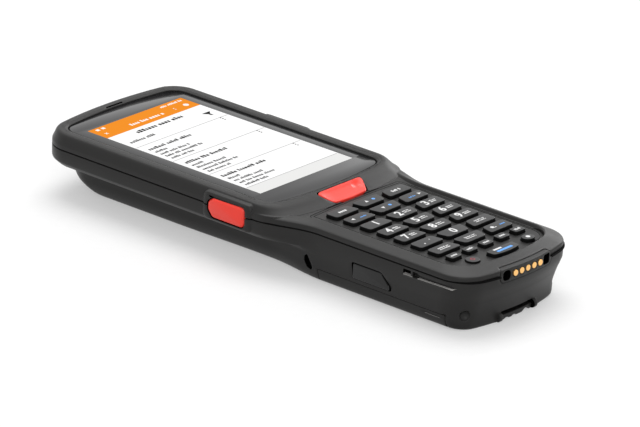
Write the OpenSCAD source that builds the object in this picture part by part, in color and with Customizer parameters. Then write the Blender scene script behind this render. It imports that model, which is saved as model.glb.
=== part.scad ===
// Portable barcode data terminal: a flat display head, a narrower keypad tail and a battery
// behind a hinged door. +Z is up through the glass, +Y runs to the scanning end, and the
// origin lies on the resting plane under the middle of the body. Millimetres.

/* [Body] */
// Whole length, scanning end to charging end
body_len = 210; // [206:1:216]
// Width of the display head at the parting line
head_w = 76.4; // [75.6:0.2:79]
// Width of the keypad tail at the parting line
tail_w = 63; // [62:0.5:66]
// Height of the rim crest above the resting plane
body_h = 25.8; // [25.6:0.1:27]
// Y at which the head starts to draw in towards the tail
waist_start = -4.5; // [-6:0.5:-3]
// Length of the drawn-in waist
waist_len = 27; // [24:1:30]
// Height of the arch under the waist
arch_h = 0.4; // [0.2:0.1:2]
// Wall of both housings
wall = 2.2; // [1.8:0.1:2.6]
// Height of the underside of the front housing
parting_z = 20.2; // [20:0.1:20.4]
// Thickness of the seal between the housings
gasket_t = 0.5; // [0.4:0.1:0.7]

/* [Display] */
// Width of the lit display area
screen_w = 52.3; // [48:0.5:55]
// Length of the lit display area
screen_len = 87.1; // [80:0.5:89]
// Y of the middle of the display
screen_y = 45.5; // [44:0.5:47]
// Width of the cover glass
glass_w = 62.6; // [61:0.2:63]
// Length of the cover glass along its middle
glass_len = 109.5; // [108:0.5:110]
// Thickness of the cover glass
glass_t = 1.1; // [0.9:0.1:1.4]
// Height of the rim crest over the glass
rim_rise = 0.8; // [0.6:0.1:1.2]
// Thickness of the display module
display_t = 2.2; // [1.8:0.1:2.4]

/* [Keypad] */
// Height of the keypad panel's face
panel_z = 22.6; // [22.4:0.1:23]
// Thickness of the keypad panel
panel_t = 1.3; // [1.1:0.1:1.4]
// Width of the keypad panel
panel_w = 51.2; // [50:0.2:52]
// Height of the key tops above the panel
key_rise = 1.4; // [1:0.1:1.8]
// Distance from one column of keys to the next
key_pitch_x = 15.25; // [14.8:0.05:15.5]
// Distance from one row of keys to the next
key_pitch_y = 8.03; // [7.9:0.01:8.1]
// Size of a main key along the body
key_len = 5.8; // [5.2:0.1:6]
// Width of a main key in the outer columns
key_w = 13; // [12:0.1:13.4]
// Y of the middle of the first row of keys
first_row_y = -28.6; // [-29:0.1:-28.2]
// Distance between the small keys in the function row
small_pitch = 9.15; // [8.6:0.05:9.4]
// Running clearance round every key
key_gap = 0.25; // [0.2:0.05:0.35]
// Travel of every key
key_travel = 0.5; // [0.3:0.1:0.6]

/* [Scan buttons] */
// Length of the scan button on the left side
side_button_len = 18; // [16:0.5:20]
// Height of the scan button on the left side
side_button_h = 8.3; // [7.5:0.1:8.6]
// Y of the middle of the left scan button
side_button_y = 7.3; // [6:0.1:9]
// How far the side buttons stand out of the head
side_button_out = 1.4; // [1:0.1:1.8]
// Y of the middle of the rocker on the right side
rocker_y = 44.3; // [40:0.5:50]
// Length of the rocker
rocker_len = 18; // [16:0.5:20]
// Travel of the side buttons
side_travel = 0.8; // [0.5:0.1:1]
// Width of the scan key on the front slope
front_key_w = 25; // [23:0.5:27]

/* [Battery] */
// Width of the battery pack
battery_w = 48; // [44:0.5:50]
// Length of the battery pack
battery_len = 57; // [52:0.5:58]
// Thickness of the battery pack
battery_t = 11; // [9:0.5:11.5]
// Y of the hinged end of the battery door
door_end = -90; // [-90.3:0.1:-89]
// Length of the battery door
door_len = 60; // [59:0.5:61]
// Height of the door's side seam
door_h = 5.5; // [5:0.1:6]
// Gap round the battery door
door_gap = 0.3; // [0.2:0.05:0.4]
// Length of a door latch
latch_len = 17.5; // [15:0.5:19]
// Travel of a door latch
latch_travel = 1.2; // [0.8:0.1:1.5]

/* [Charging end] */
// Distance between neighbouring charging pins
pin_pitch = 3.52; // [3.4:0.02:3.6]
// Diameter of a charging pin
pin_d = 2.9; // [2.4:0.1:3]
// Number of charging pins
pin_count = 5; // [3:2:5]
// Diameter of the bar for the hand strap
strap_bar_d = 3; // [2.6:0.1:3.2]
// Free span of the strap bar
strap_span = 19; // [16:0.5:21]

/* [Hidden] */
$fn = 32;
fit = 0.15;                              // assembly clearance of seated parts
eps = 0.02;
head_end = body_len/2;
tail_end = -body_len/2;
waist_end = waist_start - waist_len;
glass_z = body_h - rim_rise;             // face of the cover glass
rear_top = parting_z - gasket_t;         // upper edge of the rear housing
glass_top_y = head_end - 6;
glass_low_y = glass_top_y - glass_len;
step_low_y = glass_low_y - 11;           // foot of the slope below the glass
crest_low_y = glass_low_y - 2.5;         // upper edge of that slope
panel_end = tail_end + 8;                // far end of the keypad panel
panel_start = step_low_y + 0.7;
key_top = panel_z + key_rise;
flange_z = panel_z - panel_t - 0.1;      // top of the flange that keeps a key in
flange_t = 0.4;
mat_t = 0.6;
mat_z = flange_z - flange_t - key_travel - 0.1;
dome_t = 0.4;
board_t = 1.2;
board_low = 12.6;                        // underside of the main board
board_x = head_w/2 - 11.7;               // half width of the main board
board_y = [waist_start + 12.5, head_end - 16]; // its two ends
board_z = mat_z - mat_t - dome_t - board_t;
bay_top = 15.2;                          // underside of the battery bay's ceiling
bay_plate = 1.2;
door_start = door_end + door_len;
hinge_z = 1.1;
hinge_y = door_end + 0.9;
hinge_sweep = norm([0.9, hinge_z]) + 0.25; // clears the door's edge as it turns
latch_y = -56.3;
latch_z = 10.7;
latch_h = 6;
latch_out = tail_w/2 - 0.5;              // outer face of a door latch
side_button_z = parting_z - 0.6;
side_cap_t = 4.4;                        // depth of a side button, outer face to switch
rocker_h = side_button_h - 1.7;
ledge_z = glass_z - glass_t - 1;         // underside of the ledge that carries the glass
display_bay_x = screen_w/2 + 2.85;       // half width of the opening under the glass
display_bay_y = screen_len/2 + 3.25;     // half length of that opening
boss_r = 3.4;
screw_r = 1;
screw_head_r = 1.8;
slab_screws = [[33, 88], [-33, 88], [33, 24], [-33, 24]];
slab_head_z = 15;
engine_y = [head_end - 9.2, head_end - 3.5]; // ends of the scan engine
engine_z = [slab_head_z + 0.2, ledge_z - 2.1];
speaker_y = 62;                          // middle of the loudspeaker and of its slots
tail_screws = [for (s = [-1, 1], y = [-84, -36]) [s*(panel_w/2 + 1.6), y]];
tail_head_z = 8.6;
strap_y = tail_end + 6.6;
strap_z = 2.2;
cove_end = strap_y + strap_bar_d/2 + 4.5; // inner wall of the strap cove
contact_y = tail_end + 1;
contact_z = 19.9;
contact_h = 5.2;
contact_w = pin_pitch*(pin_count - 1) + 15;
rubber = [0.16, 0.16, 0.16];
shell = [0.23, 0.225, 0.22];
red = [0.93, 0.22, 0.16];
key_black = [0.13, 0.13, 0.135];

// ---------------------------------------------------------------- outlines and skins

function ease(t) = let(c = min(1, max(0, t))) (1 - cos(180*c))/2;

// Right half of a body outline, from the middle of the scanning end to the middle of the
// charging end. h and t are [half width, end, corner radius, bow of the end]; the half
// width changes from h's to t's between y0 and y1.
function half_outline(h, t, y0, y1) =
    let(ah = atan(2*h[3]/(h[0] - h[2])), xh = h[0] - h[2] + h[2]*sin(ah),
        ch = h[1] - h[3] - h[2]*cos(ah),
        at = atan(2*t[3]/(t[0] - t[2])), xt = t[0] - t[2] + t[2]*sin(at),
        ct = t[1] + t[3] + t[2]*cos(at))
    concat(
        [for (i = [0:5]) let(x = xh*(i + 0.5)/6) [x, h[1] - h[3]*pow(x/xh, 2)]],
        [for (i = [0:7]) let(a = (90 - ah)*(1 - i/7))
            [h[0] - h[2] + h[2]*cos(a), ch + h[2]*sin(a)]],
        [for (i = [1:8]) [h[0], ch + (y0 - ch)*i/9]],
        [for (i = [0:9]) [h[0] + (t[0] - h[0])*ease(i/9), y0 + (y1 - y0)*i/9]],
        [for (i = [1:4]) [t[0], y1 + (ct - y1)*i/5]],
        [for (i = [0:7]) let(a = (90 - at)*i/7)
            [t[0] - t[2] + t[2]*cos(a), ct - t[2]*sin(a)]],
        [for (i = [5:-1:0]) let(x = xt*(i + 0.5)/6) [x, t[1] + t[3]*pow(x/xt, 2)]]);

function whole(half) = concat(half,
    [for (i = [len(half) - 1:-1:0]) [-half[i][0], half[i][1]]]);

// Outline of the whole body, drawn in by "inset"
function body_outline(inset = 0) = half_outline(
    [head_w/2 - inset, head_end - inset, 12.5 - inset/2, 2],
    [tail_w/2 - inset, tail_end + inset, 12.5 - inset/2, 2.6],
    waist_start, waist_end);

// Outline of the display head down to the foot of its slope
function head_outline(side, top, low, bow = 3) = half_outline(
    [side, top, 12.5 - (head_w/2 - side)*0.9, 2], [side, low, 13 - (low - step_low_y)*0.55, bow],
    25, 15);

function glass_outline(grow = 0) = half_outline(
    [glass_w/2 + grow, glass_top_y + grow, 6 + grow, 1.8],
    [glass_w/2 + grow, glass_low_y - grow, 6 + grow, 2], 25, 15);

function panel_outline(grow = 0) = half_outline(
    [panel_w/2 + grow, panel_start + grow, max(1.5 + grow, 0.4), 0.5],
    [panel_w/2 + grow, panel_end - grow, 9 + grow, 2.2], -45, -50);

// 0 on the head, 1 on the tail
function tailward(y) = ease((waist_start - y)/waist_len);

// Lift of the underside below the waist
function arch(y) = let(crown = waist_start + 7, d = y - crown, reach = d > 0 ? 42 : 30)
    abs(d) < reach ? arch_h*pow(cos(90*d/reach), 2) : 0;

// A closed loop in space: half outline, its height on the head, on the tail and its share
// of the arch
function ring(half, zh, zt, lift = 0) = [for (p = whole(half))
    [p[0], p[1], zh + (zt - zh)*tailward(p[1]) + lift*arch(p[1])]];

// Closed skin over rings of equal count, lowest first
module skin(rings) {
    n = len(rings[0]);
    m = len(rings) - 1;
    polyhedron(points = [for (r = rings) each r], faces = concat(
        [for (k = [0:m - 1], i = [0:n - 1]) let(j = (i + 1)%n, a = k*n, b = a + n)
            each [[a + i, a + j, b + j], [a + i, b + j, b + i]]],
        [for (i = [0:n/2 - 2]) let(a = m*n)
            each [[a + i, a + i + 1, a + n - 2 - i], [a + i, a + n - 2 - i, a + n - 1 - i]]],
        [for (i = [0:n/2 - 2])
            each [[i + 1, i, n - 2 - i], [n - 2 - i, i, n - 1 - i]]]));
}

// The outline without the points that lie on its straight runs
function lean(half) = [for (i = [0:len(half) - 1])
    if (i == 0 || i == len(half) - 1
        || abs(cross(half[i] - half[i - 1], half[i + 1] - half[i])) > 1e-4) half[i]];

module plan(half) {
    polygon(whole(lean(half)));
}

module prism(half, z0, z1) {
    translate([0, 0, z0]) linear_extrude(z1 - z0) plan(half);
}

// Rounded block between two corners
module block(low, high, r = 0.5) {
    translate([low[0] + r, low[1] + r, low[2]]) linear_extrude(high[2] - low[2]) hull()
        for (x = [0, high[0] - low[0] - 2*r], y = [0, high[1] - low[1] - 2*r])
            translate([x, y]) circle(r, $fn = 16);
}

module box(low, high) {
    translate(low) cube(high - low);
}

// ---------------------------------------------------------------- housings

// Display head of the front housing, from the parting line up to the rim crest
module head_form() {
    // [side, scanning end, slope end, height on the sides, height on the slope]
    steps = [[0, 0, 0, parting_z, parting_z], [0.1, 0.1, 0, 22, panel_z],
        [0.7, 0.8, 0.9, 23.6, panel_z + 0.35], [1.4, 1.2, 3.5, body_h - 1, panel_z + 1.3],
        [2.1, 1.7, 6, body_h - 0.3, body_h - 0.85], [3, 2.2, 8.5, body_h, body_h],
        [5.2, 3.9, 9.6, body_h, body_h]];
    skin([for (s = steps)
        [for (p = whole(head_outline(head_w/2 - s[0], head_end - s[1], step_low_y + s[2])))
            [p[0], p[1], s[3] + (s[4] - s[3])*ease((waist_start + 3 - p[1])/8)]]]);
}

// Keypad tail of the front housing with its bevelled bezel
module tail_form() {
    // [inset at the sides, inset at the charging end, height]
    steps = [[0, 0, parting_z], [0, 0, 21.8], [0.4, 0.5, 22.1], [4.0, 6.0, 23.7],
        [4.5, 6.7, 23.9], [4.9, 7.1, 23.8], [5.65, 7.84, panel_z]];
    skin([for (s = steps) ring(half_outline(
        [head_w/2 - 0.35 - s[0], 30, 2, 0.1],
        [tail_w/2 - s[0], tail_end + s[1], 12.5 - s[0]*0.6, 2.6],
        waist_start, waist_end), min(s[2], panel_z), s[2])]);
}

// Raised ridge round a side button; side is -1 on the left and 1 on the right
module collar(side, y, len, z0, z1) {
    x = side*(head_w/2 - 0.5);
    hull() for (e = [[0, len/2 + 3, 0], [side*1.1, len/2 + 1.6, 1]])
        for (k = [-1, 1]) for (z = [z0 + 1.5 + e[2], z1 - 1.5 - e[2]])
            translate([x + e[0], y + k*e[1], z]) rotate([0, 90, 0])
                cylinder(r = 1.5, h = 0.2, center = true, $fn = 12);
}

module side_opening(side, y, len, h, z, grow) {
    x = side*(head_w/2 - 1);
    translate([x, y, z]) rotate([90, 0, 90]) linear_extrude(8, center = true) hull()
        for (k = [-1, 1], j = [-1, 1])
            translate([k*(len/2 - 1.6), j*(h/2 - 1.6)]) circle(1.6 + grow, $fn = 16);
}

module front_slope_key(grow, low, high) {
    y1 = crest_low_y - 0.4;
    y0 = step_low_y + 1.3;
    w1 = front_key_w/2;
    translate([0, 0, low]) linear_extrude(high - low) hull() {
        for (k = [-1, 1]) {
            translate([k*(w1 - 1), y1 - 0.8]) circle(0.8 + grow, $fn = 24);
            translate([k*(w1 - 5.2), y0 + 2]) circle(2 + grow, $fn = 20);
        }
        translate([0, y0 + 1]) circle(1.4 + grow, $fn = 16);
    }
}

module side_openings() {
    side_opening(-1, side_button_y, side_button_len, side_button_h, side_button_z, key_gap);
    side_opening(1, rocker_y, rocker_len, rocker_h, side_button_z, key_gap);
}

module collars() {
    collar(-1, side_button_y, side_button_len, 13, body_h - 0.7);
    collar(1, rocker_y, rocker_len, 13, body_h - 0.7);
}

module screw_bore(p, z0, z1) {
    translate([p[0], p[1], z0]) cylinder(r = screw_r + 0.2, h = z1 - z0, $fn = 20);
}

// Hollow of the display head, with the bosses left standing that take the screws
module head_hollow() {
    difference() {
        union() {
            prism(half_outline([head_w/2 - wall, head_end - wall, 10.5, 2],
                [head_w/2 - wall, glass_low_y + 1.5, 9, 2], 25, 15), 0, ledge_z);
            box([-display_bay_x, screen_y - display_bay_y, 0],
                [display_bay_x, screen_y + display_bay_y, 30]);
        }
        for (p = slab_screws) translate([p[0], p[1], parting_z])
            cylinder(r = 2.6, h = 10, $fn = 24);
    }
}

module front_housing() {
    color(shell) difference() {
        union() {
            head_form();
            tail_form();
            intersection() {
                collars();
                box([-50, -50, parting_z], [50, 90, 30]);
            }
        }
        head_hollow();
        // seat of the cover glass and the bevel that leads down to it
        skin([for (s = [[fit, glass_z - glass_t], [fit, glass_z], [1.7, body_h + 0.1]])
            [for (p = whole(glass_outline(s[0]))) [p[0], p[1], s[1]]]]);
        // receiver slot in the rim
        hull() for (x = [-4, 5]) translate([x, glass_top_y + 0.9, ledge_z + 0.4])
            cylinder(r = 0.6, h = 5, $fn = 12);
        // seat of the keypad panel and the window below it
        prism(panel_outline(fit), panel_z - panel_t, 30);
        prism(panel_outline(-1.8), 0, 30);
        // room in the panel's ledge for the flanges of the keys near its end
        for (p = [power_at, settings_at]) translate([p[0], p[1], parting_z - 1])
            linear_extrude(panel_z - panel_t - parting_z + 1.2) round_plan(5.4, key_gap + 0.5);
        translate([0, foot_y, parting_z - 1])
            linear_extrude(panel_z - panel_t - parting_z + 1.2) wide_plan(key_gap + 0.5);
        front_slope_key(key_gap + 0.1, parting_z + 0.8, 30);
        side_openings();
        contact_seat(fit);
        for (p = concat(slab_screws, tail_screws)) screw_bore(p, 0, 22.4);
        // snap windows along the inside of the tail's frame
        for (s = [-1, 1], y = [-48, -60, -72]) hull() for (k = [-3, 3])
            translate([s*(panel_w/2 - 1.6), y + k, parting_z]) cylinder(r = 0.6, h = 1.6,
                center = true, $fn = 12);
    }
}

module screw_seat(p, z) {
    screw_bore(p, z - 0.1, 30);
    translate([p[0], p[1], 0]) cylinder(r = screw_head_r + 0.15, h = z, $fn = 24);
}

module contact_seat(grow) {
    box([-contact_w/2 - grow, tail_end - 2, contact_z - contact_h/2 - grow],
        [contact_w/2 + grow, contact_y + 4 + grow, contact_z + contact_h/2 + grow]);
}

// Outer skin of the rear housing, lowest ring first:
// [head: half width, end, radius], [tail: half width, end, radius], heights, share of arch
module rear_form() {
    hw = head_w/2;
    tw = tail_w/2;
    skin([
        ring(rear_half([hw - 14.2, head_end - 16.2, 8], [tw - 6.6, tail_end + 5.4, 6.5]), 0, 0, 1),
        ring(rear_half([hw - 12.2, head_end - 11.5, 9], [tw - 4.2, tail_end + 4.8, 7.5]), 1.3, 0.9, 0.97),
        ring(rear_half([hw - 10.2, head_end - 6.6, 10], [tw - 2.6, tail_end + 4.2, 9.5]), 4.8, 3.4, 0.8),
        ring(rear_half([hw - 9, head_end - 4.2, 11], [tw - 1.5, tail_end + 2.9, 12]), 9, 6.9, 0.35),
        ring(rear_half([hw - 8, head_end - 3.2, 11.5], [tw - 0.8, tail_end + 1.6, 13]), 12, 11, 0),
        ring(rear_half([hw - 1.8, head_end - 1.8, 12], [tw - 0.3, tail_end + 0.7, 13]), 13, 13.6, 0),
        ring(rear_half([hw - 0.1, head_end - 0.1, 12.5], [tw, tail_end + 0.1, 12.5]), 15, 16, 0),
        ring(body_outline(), rear_top, rear_top, 0)]);
}

function rear_half(h, t) = half_outline([h[0], h[1], h[2], 2], [t[0], t[1], t[2], 2.6],
    waist_start, waist_end);

// Hollow of the rear housing, a wall inside its skin
module rear_hollow() {
    hw = head_w/2 - wall;
    tw = tail_w/2 - wall;
    skin([
        ring(rear_half([hw - 14, head_end - 24, 8], [tw - 6, tail_end + 11, 8]), wall, wall, 1),
        ring(rear_half([hw - 9.6, head_end - 15, 9], [tw - 2, tail_end + 7, 11]), 5.4, 5, 0.75),
        ring(rear_half([hw - 7.8, head_end - 11.5, 9], [tw - 0.9, tail_end + 4.8, 11]), 11, 10, 0.2),
        ring(rear_half([hw - 7, head_end - 10.6, 9.5], [tw - 0.4, tail_end + 3.8, 11]), 14.2, 13, 0),
        ring(rear_half([hw - 0.6, head_end - wall - 0.8, 10], [tw, tail_end + wall, 10.5]), 15, 16, 0),
        ring(rear_half([hw, head_end - wall, 10.5], [tw, tail_end + wall, 10.5]), 30, 30, 0)]);
}

// Space of the battery door, which grows by the gap for the hole in the housing
module door_space(grow) {
    box([-50, door_end - grow, -5], [50, door_start + grow, door_h + grow]);
}

// Rounded D-shape of a door latch on the side wall
module latch_plan(grow) {
    hull() {
        for (z = [-1, 1]) translate([latch_len/2 - 1, z*(latch_h/2 - 1)]) circle(1 + grow, $fn = 16);
        translate([-latch_len/2 + 5, latch_h/2 - 1]) circle(1 + grow, $fn = 16);
        translate([-latch_len/2 + 1, -latch_h/2 + 1]) circle(1 + grow, $fn = 16);
    }
}

module latch_form(side, x0, x1, grow) {
    translate([side*x0, latch_y, latch_z]) rotate([90, 0, 90])
        linear_extrude(2*abs(x1 - x0), center = true) latch_plan(grow);
}

module pillar(p, r, z0, z1) {
    translate([p[0], p[1], z0]) cylinder(r = r, h = z1 - z0, $fn = 24);
}

// What stands inside the hollow of the rear housing
module rear_inside() {
    for (p = slab_screws) pillar(p, boss_r, 0, 40);
    for (p = tail_screws) pillar(p, 2.4, tail_head_z - 1.8, board_z - 0.2);
    for (x = [-22, 22], y = [14, 84]) pillar([x, y], 2, 0, board_low);
    // ceiling and end walls of the battery bay
    box([-40, door_end - 1.5, bay_top], [40, door_start + 4, bay_top + bay_plate]);
    box([-40, door_start + 2.2, 0], [40, door_start + 4, bay_top + bay_plate]);
    box([-40, door_end - 1.5, 0], [40, door_end - 0.1, bay_top + bay_plate]);
    // inner shell of the strap cove
    box([-strap_span/2 - 1.8, tail_end, 0], [strap_span/2 + 1.8, cove_end + 1.5, 7.6]);
}

module rear_housing() {
    color(shell) difference() {
        union() {
            difference() {
                rear_form();
                difference() {
                    rear_hollow();
                    rear_inside();
                }
            }
            intersection() {
                collars();
                box([-50, -50, 0], [50, 90, rear_top]);
            }
        }
        door_space(door_gap);
        for (s = [-1, 1]) {
            latch_form(s, tail_w/2, tail_w/2 - 6, door_gap - 0.05);
            // charging cradle rail and its detent hole
            box([s*(tail_w/2 + 3) - 3.5, tail_end + 7.5, rear_top - 2.7],
                [s*(tail_w/2 + 3) + 3.5, tail_end + 32, rear_top - 0.2]);
            hull() for (k = [-0.7, 0.7])
                translate([s*tail_w/2, tail_end + 30 + k, rear_top - 1.5])
                    rotate([0, 90, 0]) cylinder(r = 1, h = 2, center = true, $fn = 16);
            // oblong socket behind the waist
            hull() for (k = [-1.2, 1.2])
                translate([s*(tail_w/2 + 0.2), waist_end + 5 - k, 7.8 + k])
                    rotate([0, 90, 0]) cylinder(r = 1.3, h = 2.4, center = true, $fn = 16);
        }
        side_openings();
        contact_seat(fit);
        // cove behind the strap bar, open to the floor and to the end
        box([-strap_span/2, tail_end - 2, -5], [strap_span/2, cove_end, 5.8]);
        translate([0, strap_y, strap_z]) rotate([0, 90, 0])
            cylinder(d = strap_bar_d + 0.1, h = strap_span + 3, center = true, $fn = 24);
        scan_window_seat(fit);
        for (p = slab_screws) screw_seat(p, slab_head_z);
        for (p = tail_screws) screw_seat(p, tail_head_z);
        // room for the edge of the battery door as it turns
        translate([0, hinge_y, hinge_z]) rotate([0, 90, 0])
            cylinder(r = hinge_sweep, h = 60, center = true, $fn = 32);
        // loudspeaker slots in the back of the head
        for (i = [-3:3]) hull() for (k = [-1, 1])
            translate([k*5, speaker_y + i*2.2, -1]) cylinder(r = 0.6, h = 6, $fn = 12);
    }
}

module housing_gasket() {
    color(rubber) difference() {
        translate([0, 0, rear_top]) linear_extrude(gasket_t) difference() {
            plan(body_outline(0.35));
            plan(body_outline(1.7));
        }
        side_openings();
        contact_seat(fit);
    }
}

module screw(p, z, reach) {
    translate([p[0], p[1], z]) difference() {
        union() {
            translate([0, 0, -1.6]) cylinder(r = screw_head_r, h = 1.6);
            cylinder(r = screw_r, h = reach);
        }
        translate([0, 0, -1.7]) cylinder(r = 0.9, h = 1, $fn = 6);
    }
}

module housing_screws() {
    color("dimgray") {
        for (p = slab_screws) screw(p, slab_head_z, 7.2);
        for (p = tail_screws) screw(p, tail_head_z, 13.6);
    }
}

// ---------------------------------------------------------------- display head

module touch_glass() {
    color([0.1, 0.1, 0.11, 0.6]) prism(glass_outline(), glass_z - glass_t, glass_z);
}

module display_panel() {
    z = glass_z - glass_t;
    color("white") box([-screen_w/2 - 2, screen_y - screen_len/2 - 2, z - display_t],
        [screen_w/2 + 2, screen_y + screen_len/2 + 2, z]);
}

module display_frame() {
    z = glass_z - glass_t - display_t;
    color("silver") difference() {
        block([-display_bay_x - 0.6, screen_y - display_bay_y - 3.2, z - 0.8],
            [display_bay_x + 0.6, screen_y + display_bay_y + 3.2, z], 3);
        for (y = [-1, 1]) translate([0, screen_y + y*24, z - 2])
            cylinder(d = 22, h = 4, $fn = 48);
        for (p = slab_screws) screw_bore(p, 0, 30);
    }
}

module receiver() {
    z = glass_z - glass_t - 1;
    color("black") block([-6, glass_top_y - 3, z - 1.9], [6, glass_top_y + 1.2, z], 1);
}

module main_board() {
    top = board_low + board_t;
    color("darkgreen") {
        block([-board_x, board_y[0], board_low], [board_x, board_y[1], top], 2);
        block([-20, 50, top], [2, 72, top + 1.8], 0.5);
        block([6, 52, top], [20, 66, top + 1.6], 0.5);
        block([-12, 14, top], [12, 40, top + 1.4], 0.5);
    }
}

module scan_engine() {
    color("dimgray") difference() {
        box([-11, engine_y[0], engine_z[0]], [11, engine_y[1], engine_z[1]]);
        for (x = [-6, 4]) translate([x, engine_y[1] + 0.4, (engine_z[0] + engine_z[1])/2])
            rotate([90, 0, 0]) cylinder(r = 1.6, h = 2);
    }
}

module scan_window_seat(grow) {
    box([-14 - grow, head_end - 3.8, 15.4 - grow],
        [14 + grow, head_end + 2, rear_top - 0.6 + grow]);
}

module scan_window() {
    color([0.35, 0.05, 0.05, 0.6])
        box([-14, head_end - 2.1, 15.4], [14, head_end - 0.9, rear_top - 0.6]);
}

module loudspeaker() {
    color("dimgray") block([-8, speaker_y - 8, wall + 0.1], [8, speaker_y + 8, wall + 3.7], 2);
}

module side_switches() {
    color("darkgreen") for (s = [[-1, side_button_y, side_button_len],
            [1, rocker_y, rocker_len]]) {
        x = s[0]*(head_w/2 + side_button_out - side_cap_t - side_travel - 0.9);
        box([x - 0.5, s[1] - s[2]/2, slab_head_z], [x + 0.5, s[1] + s[2]/2, parting_z + 2]);
    }
}

module side_cap(side, y, len, h) {
    x = side*(head_w/2 + side_button_out);
    translate([x - side*(side_cap_t/2 + 0.5), y, side_button_z]) rotate([90, 0, 90])
        linear_extrude(side_cap_t - 1, center = true) hull()
            for (k = [-1, 1], j = [-1, 1])
                translate([k*(len/2 - 1.6), j*(h/2 - 1.6)]) circle(1.6, $fn = 16);
}

// Left scan button: square at its rear end, tapered at its front end
module left_scan_button() {
    x = -(head_w/2 + side_button_out);
    color(red) {
        side_cap(-1, side_button_y, side_button_len, side_button_h);
        hull() for (e = [[1.1, 0], [0, 1]]) for (j = [-1, 1]) {
            translate([x + e[0], side_button_y - side_button_len/2 + 1.6 + e[1],
                side_button_z + j*(side_button_h/2 - 1.6 - e[1]/2)])
                rotate([0, 90, 0]) cylinder(r = 1.5, h = 0.02, $fn = 16);
            translate([x + e[0], side_button_y + side_button_len/2 - 1.6 - e[1]*1.5,
                side_button_z + j*(side_button_h/2 - 2.4 - e[1]/2)])
                rotate([0, 90, 0]) cylinder(r = 1.5, h = 0.02, $fn = 16);
        }
    }
}

module volume_rocker() {
    x = head_w/2 + side_button_out;
    h = rocker_h;
    color(key_black) {
        side_cap(1, rocker_y, rocker_len, h);
        hull() for (e = [[1.1, 0], [0, 1]]) for (j = [-1, 1], k = [-1, 1])
            translate([x - e[0], rocker_y + k*(rocker_len/2 - 1.6 - e[1]),
                side_button_z + j*(h/2 - 1.6 - e[1]/2)])
                rotate([0, -90, 0]) cylinder(r = 1.5, h = 0.02, $fn = 16);
    }
}

// Scan key on the slope below the glass, sunk a little and dished
module front_scan_key() {
    rise = body_h - panel_z;
    run = crest_low_y - step_low_y;
    color(red) intersection() {
        front_slope_key(0, parting_z + 1.5, 30);
        translate([0, step_low_y, panel_z + 0.15]) rotate([atan(rise/run), 0, 0])
            translate([-30, -6, -12]) cube([60, 30, 12]);
    }
}

// ---------------------------------------------------------------- keypad

function row_y(r) = first_row_y - r*key_pitch_y;
small_y = row_y(6) - 7.1;
foot_y = small_y - 8.5;
power_at = [0.4 - key_pitch_x, foot_y + 2.4];
settings_at = [key_pitch_x, foot_y + 1.1];

// Main keys: [node, column, row]
MAIN_KEYS = [["key_escape", -1, 0], ["key_up", 0, 0], ["key_enter", 1, 0],
    ["key_left", -1, 1], ["key_down", 0, 1], ["key_right", 1, 1],
    ["key_1", -1, 2], ["key_2", 0, 2], ["key_3", 1, 2],
    ["key_4", -1, 3], ["key_5", 0, 3], ["key_6", 1, 3],
    ["key_7", -1, 4], ["key_8", 0, 4], ["key_9", 1, 4],
    ["key_point", -1, 5], ["key_0", 0, 5], ["key_symbol", 1, 5],
    ["key_input", -1, 6], ["key_clear", 0, 6], ["key_tools", 1, 6]];
SMALL_KEYS = ["key_f1", "key_f2", "key_f3", "key_f4", "key_f5"];
small_x = [for (i = [0:len(SMALL_KEYS) - 1]) (i - (len(SMALL_KEYS) - 1)/2)*small_pitch];

// Corner circles of a main key: [x, y] about the key's middle
function main_corners(col) =
    let(slant = 0.65, b = key_len/2, w = key_w/2,
        inner = col == 0 ? w - 0.1 : w - 0.5)
    col == 0 ? [[-inner - slant, b], [inner + slant, b],
                [inner - slant, -b], [-inner + slant, -b]]
    : [[col*w, b], [col*(w - 0.2), -b], [-col*(inner + slant), -b],
                [-col*(inner - slant), b]];

module rounded_plan(corners, r, grow) {
    hull() for (c = corners)
        translate([c[0] - sign(c[0])*r, c[1] - sign(c[1])*r]) circle(r + grow, $fn = 12);
}

module main_plan(col, grow) {
    rounded_plan(main_corners(col), 1.4, grow);
}

module small_plan(grow) {
    rounded_plan([for (x = [-1, 1], y = [-1, 1]) [x*2.85, y*1.95]], 1, grow);
}

module wide_plan(grow) {
    hull() {
        for (k = [-1, 1]) {
            translate([k*6.3, 1.3]) circle(1.2 + grow, $fn = 12);
            translate([k*6, -0.7]) circle(1.4 + grow, $fn = 12);
        }
        translate([0, -1.1]) circle(1.4 + grow, $fn = 12);
    }
}

module round_plan(d, grow) {
    circle(d/2 + grow, $fn = 24);
}

// Keycap over plan children: [0] full plan, [1] plan of the top face, [2] flange plan
module keycap(top) {
    translate([0, 0, flange_z - eps]) linear_extrude(top - 0.6 - flange_z + eps) children(0);
    hull() {
        translate([0, 0, top - 0.65]) linear_extrude(0.05) children(0);
        translate([0, 0, top - eps]) linear_extrude(eps) children(1);
    }
    translate([0, 0, flange_z - flange_t]) linear_extrude(flange_t) children(2);
}

module main_key(col, row) {
    color(key_black) translate([col*key_pitch_x, row_y(row), 0]) keycap(key_top) {
        main_plan(col, 0);
        main_plan(col, -0.45);
        main_plan(col, key_gap + 0.3);
    }
}

module small_key(i) {
    color(key_black) translate([small_x[i], small_y, 0]) keycap(key_top) {
        small_plan(0);
        small_plan(-0.4);
        small_plan(key_gap + 0.3);
    }
}

module key_power() {
    color(key_black) translate(power_at) keycap(panel_z + 0.7) {
        round_plan(5.4, 0);
        round_plan(5.4, -0.4);
        round_plan(5.4, key_gap + 0.3);
    }
}

module key_settings() {
    color(key_black) translate(settings_at) keycap(key_top) {
        round_plan(5, 0);
        round_plan(5, -0.45);
        round_plan(5, key_gap + 0.3);
    }
}

module key_function() {
    color(key_black) translate([0, foot_y, 0]) keycap(key_top) {
        wide_plan(0);
        wide_plan(-0.45);
        wide_plan(key_gap + 0.3);
    }
}

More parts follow.
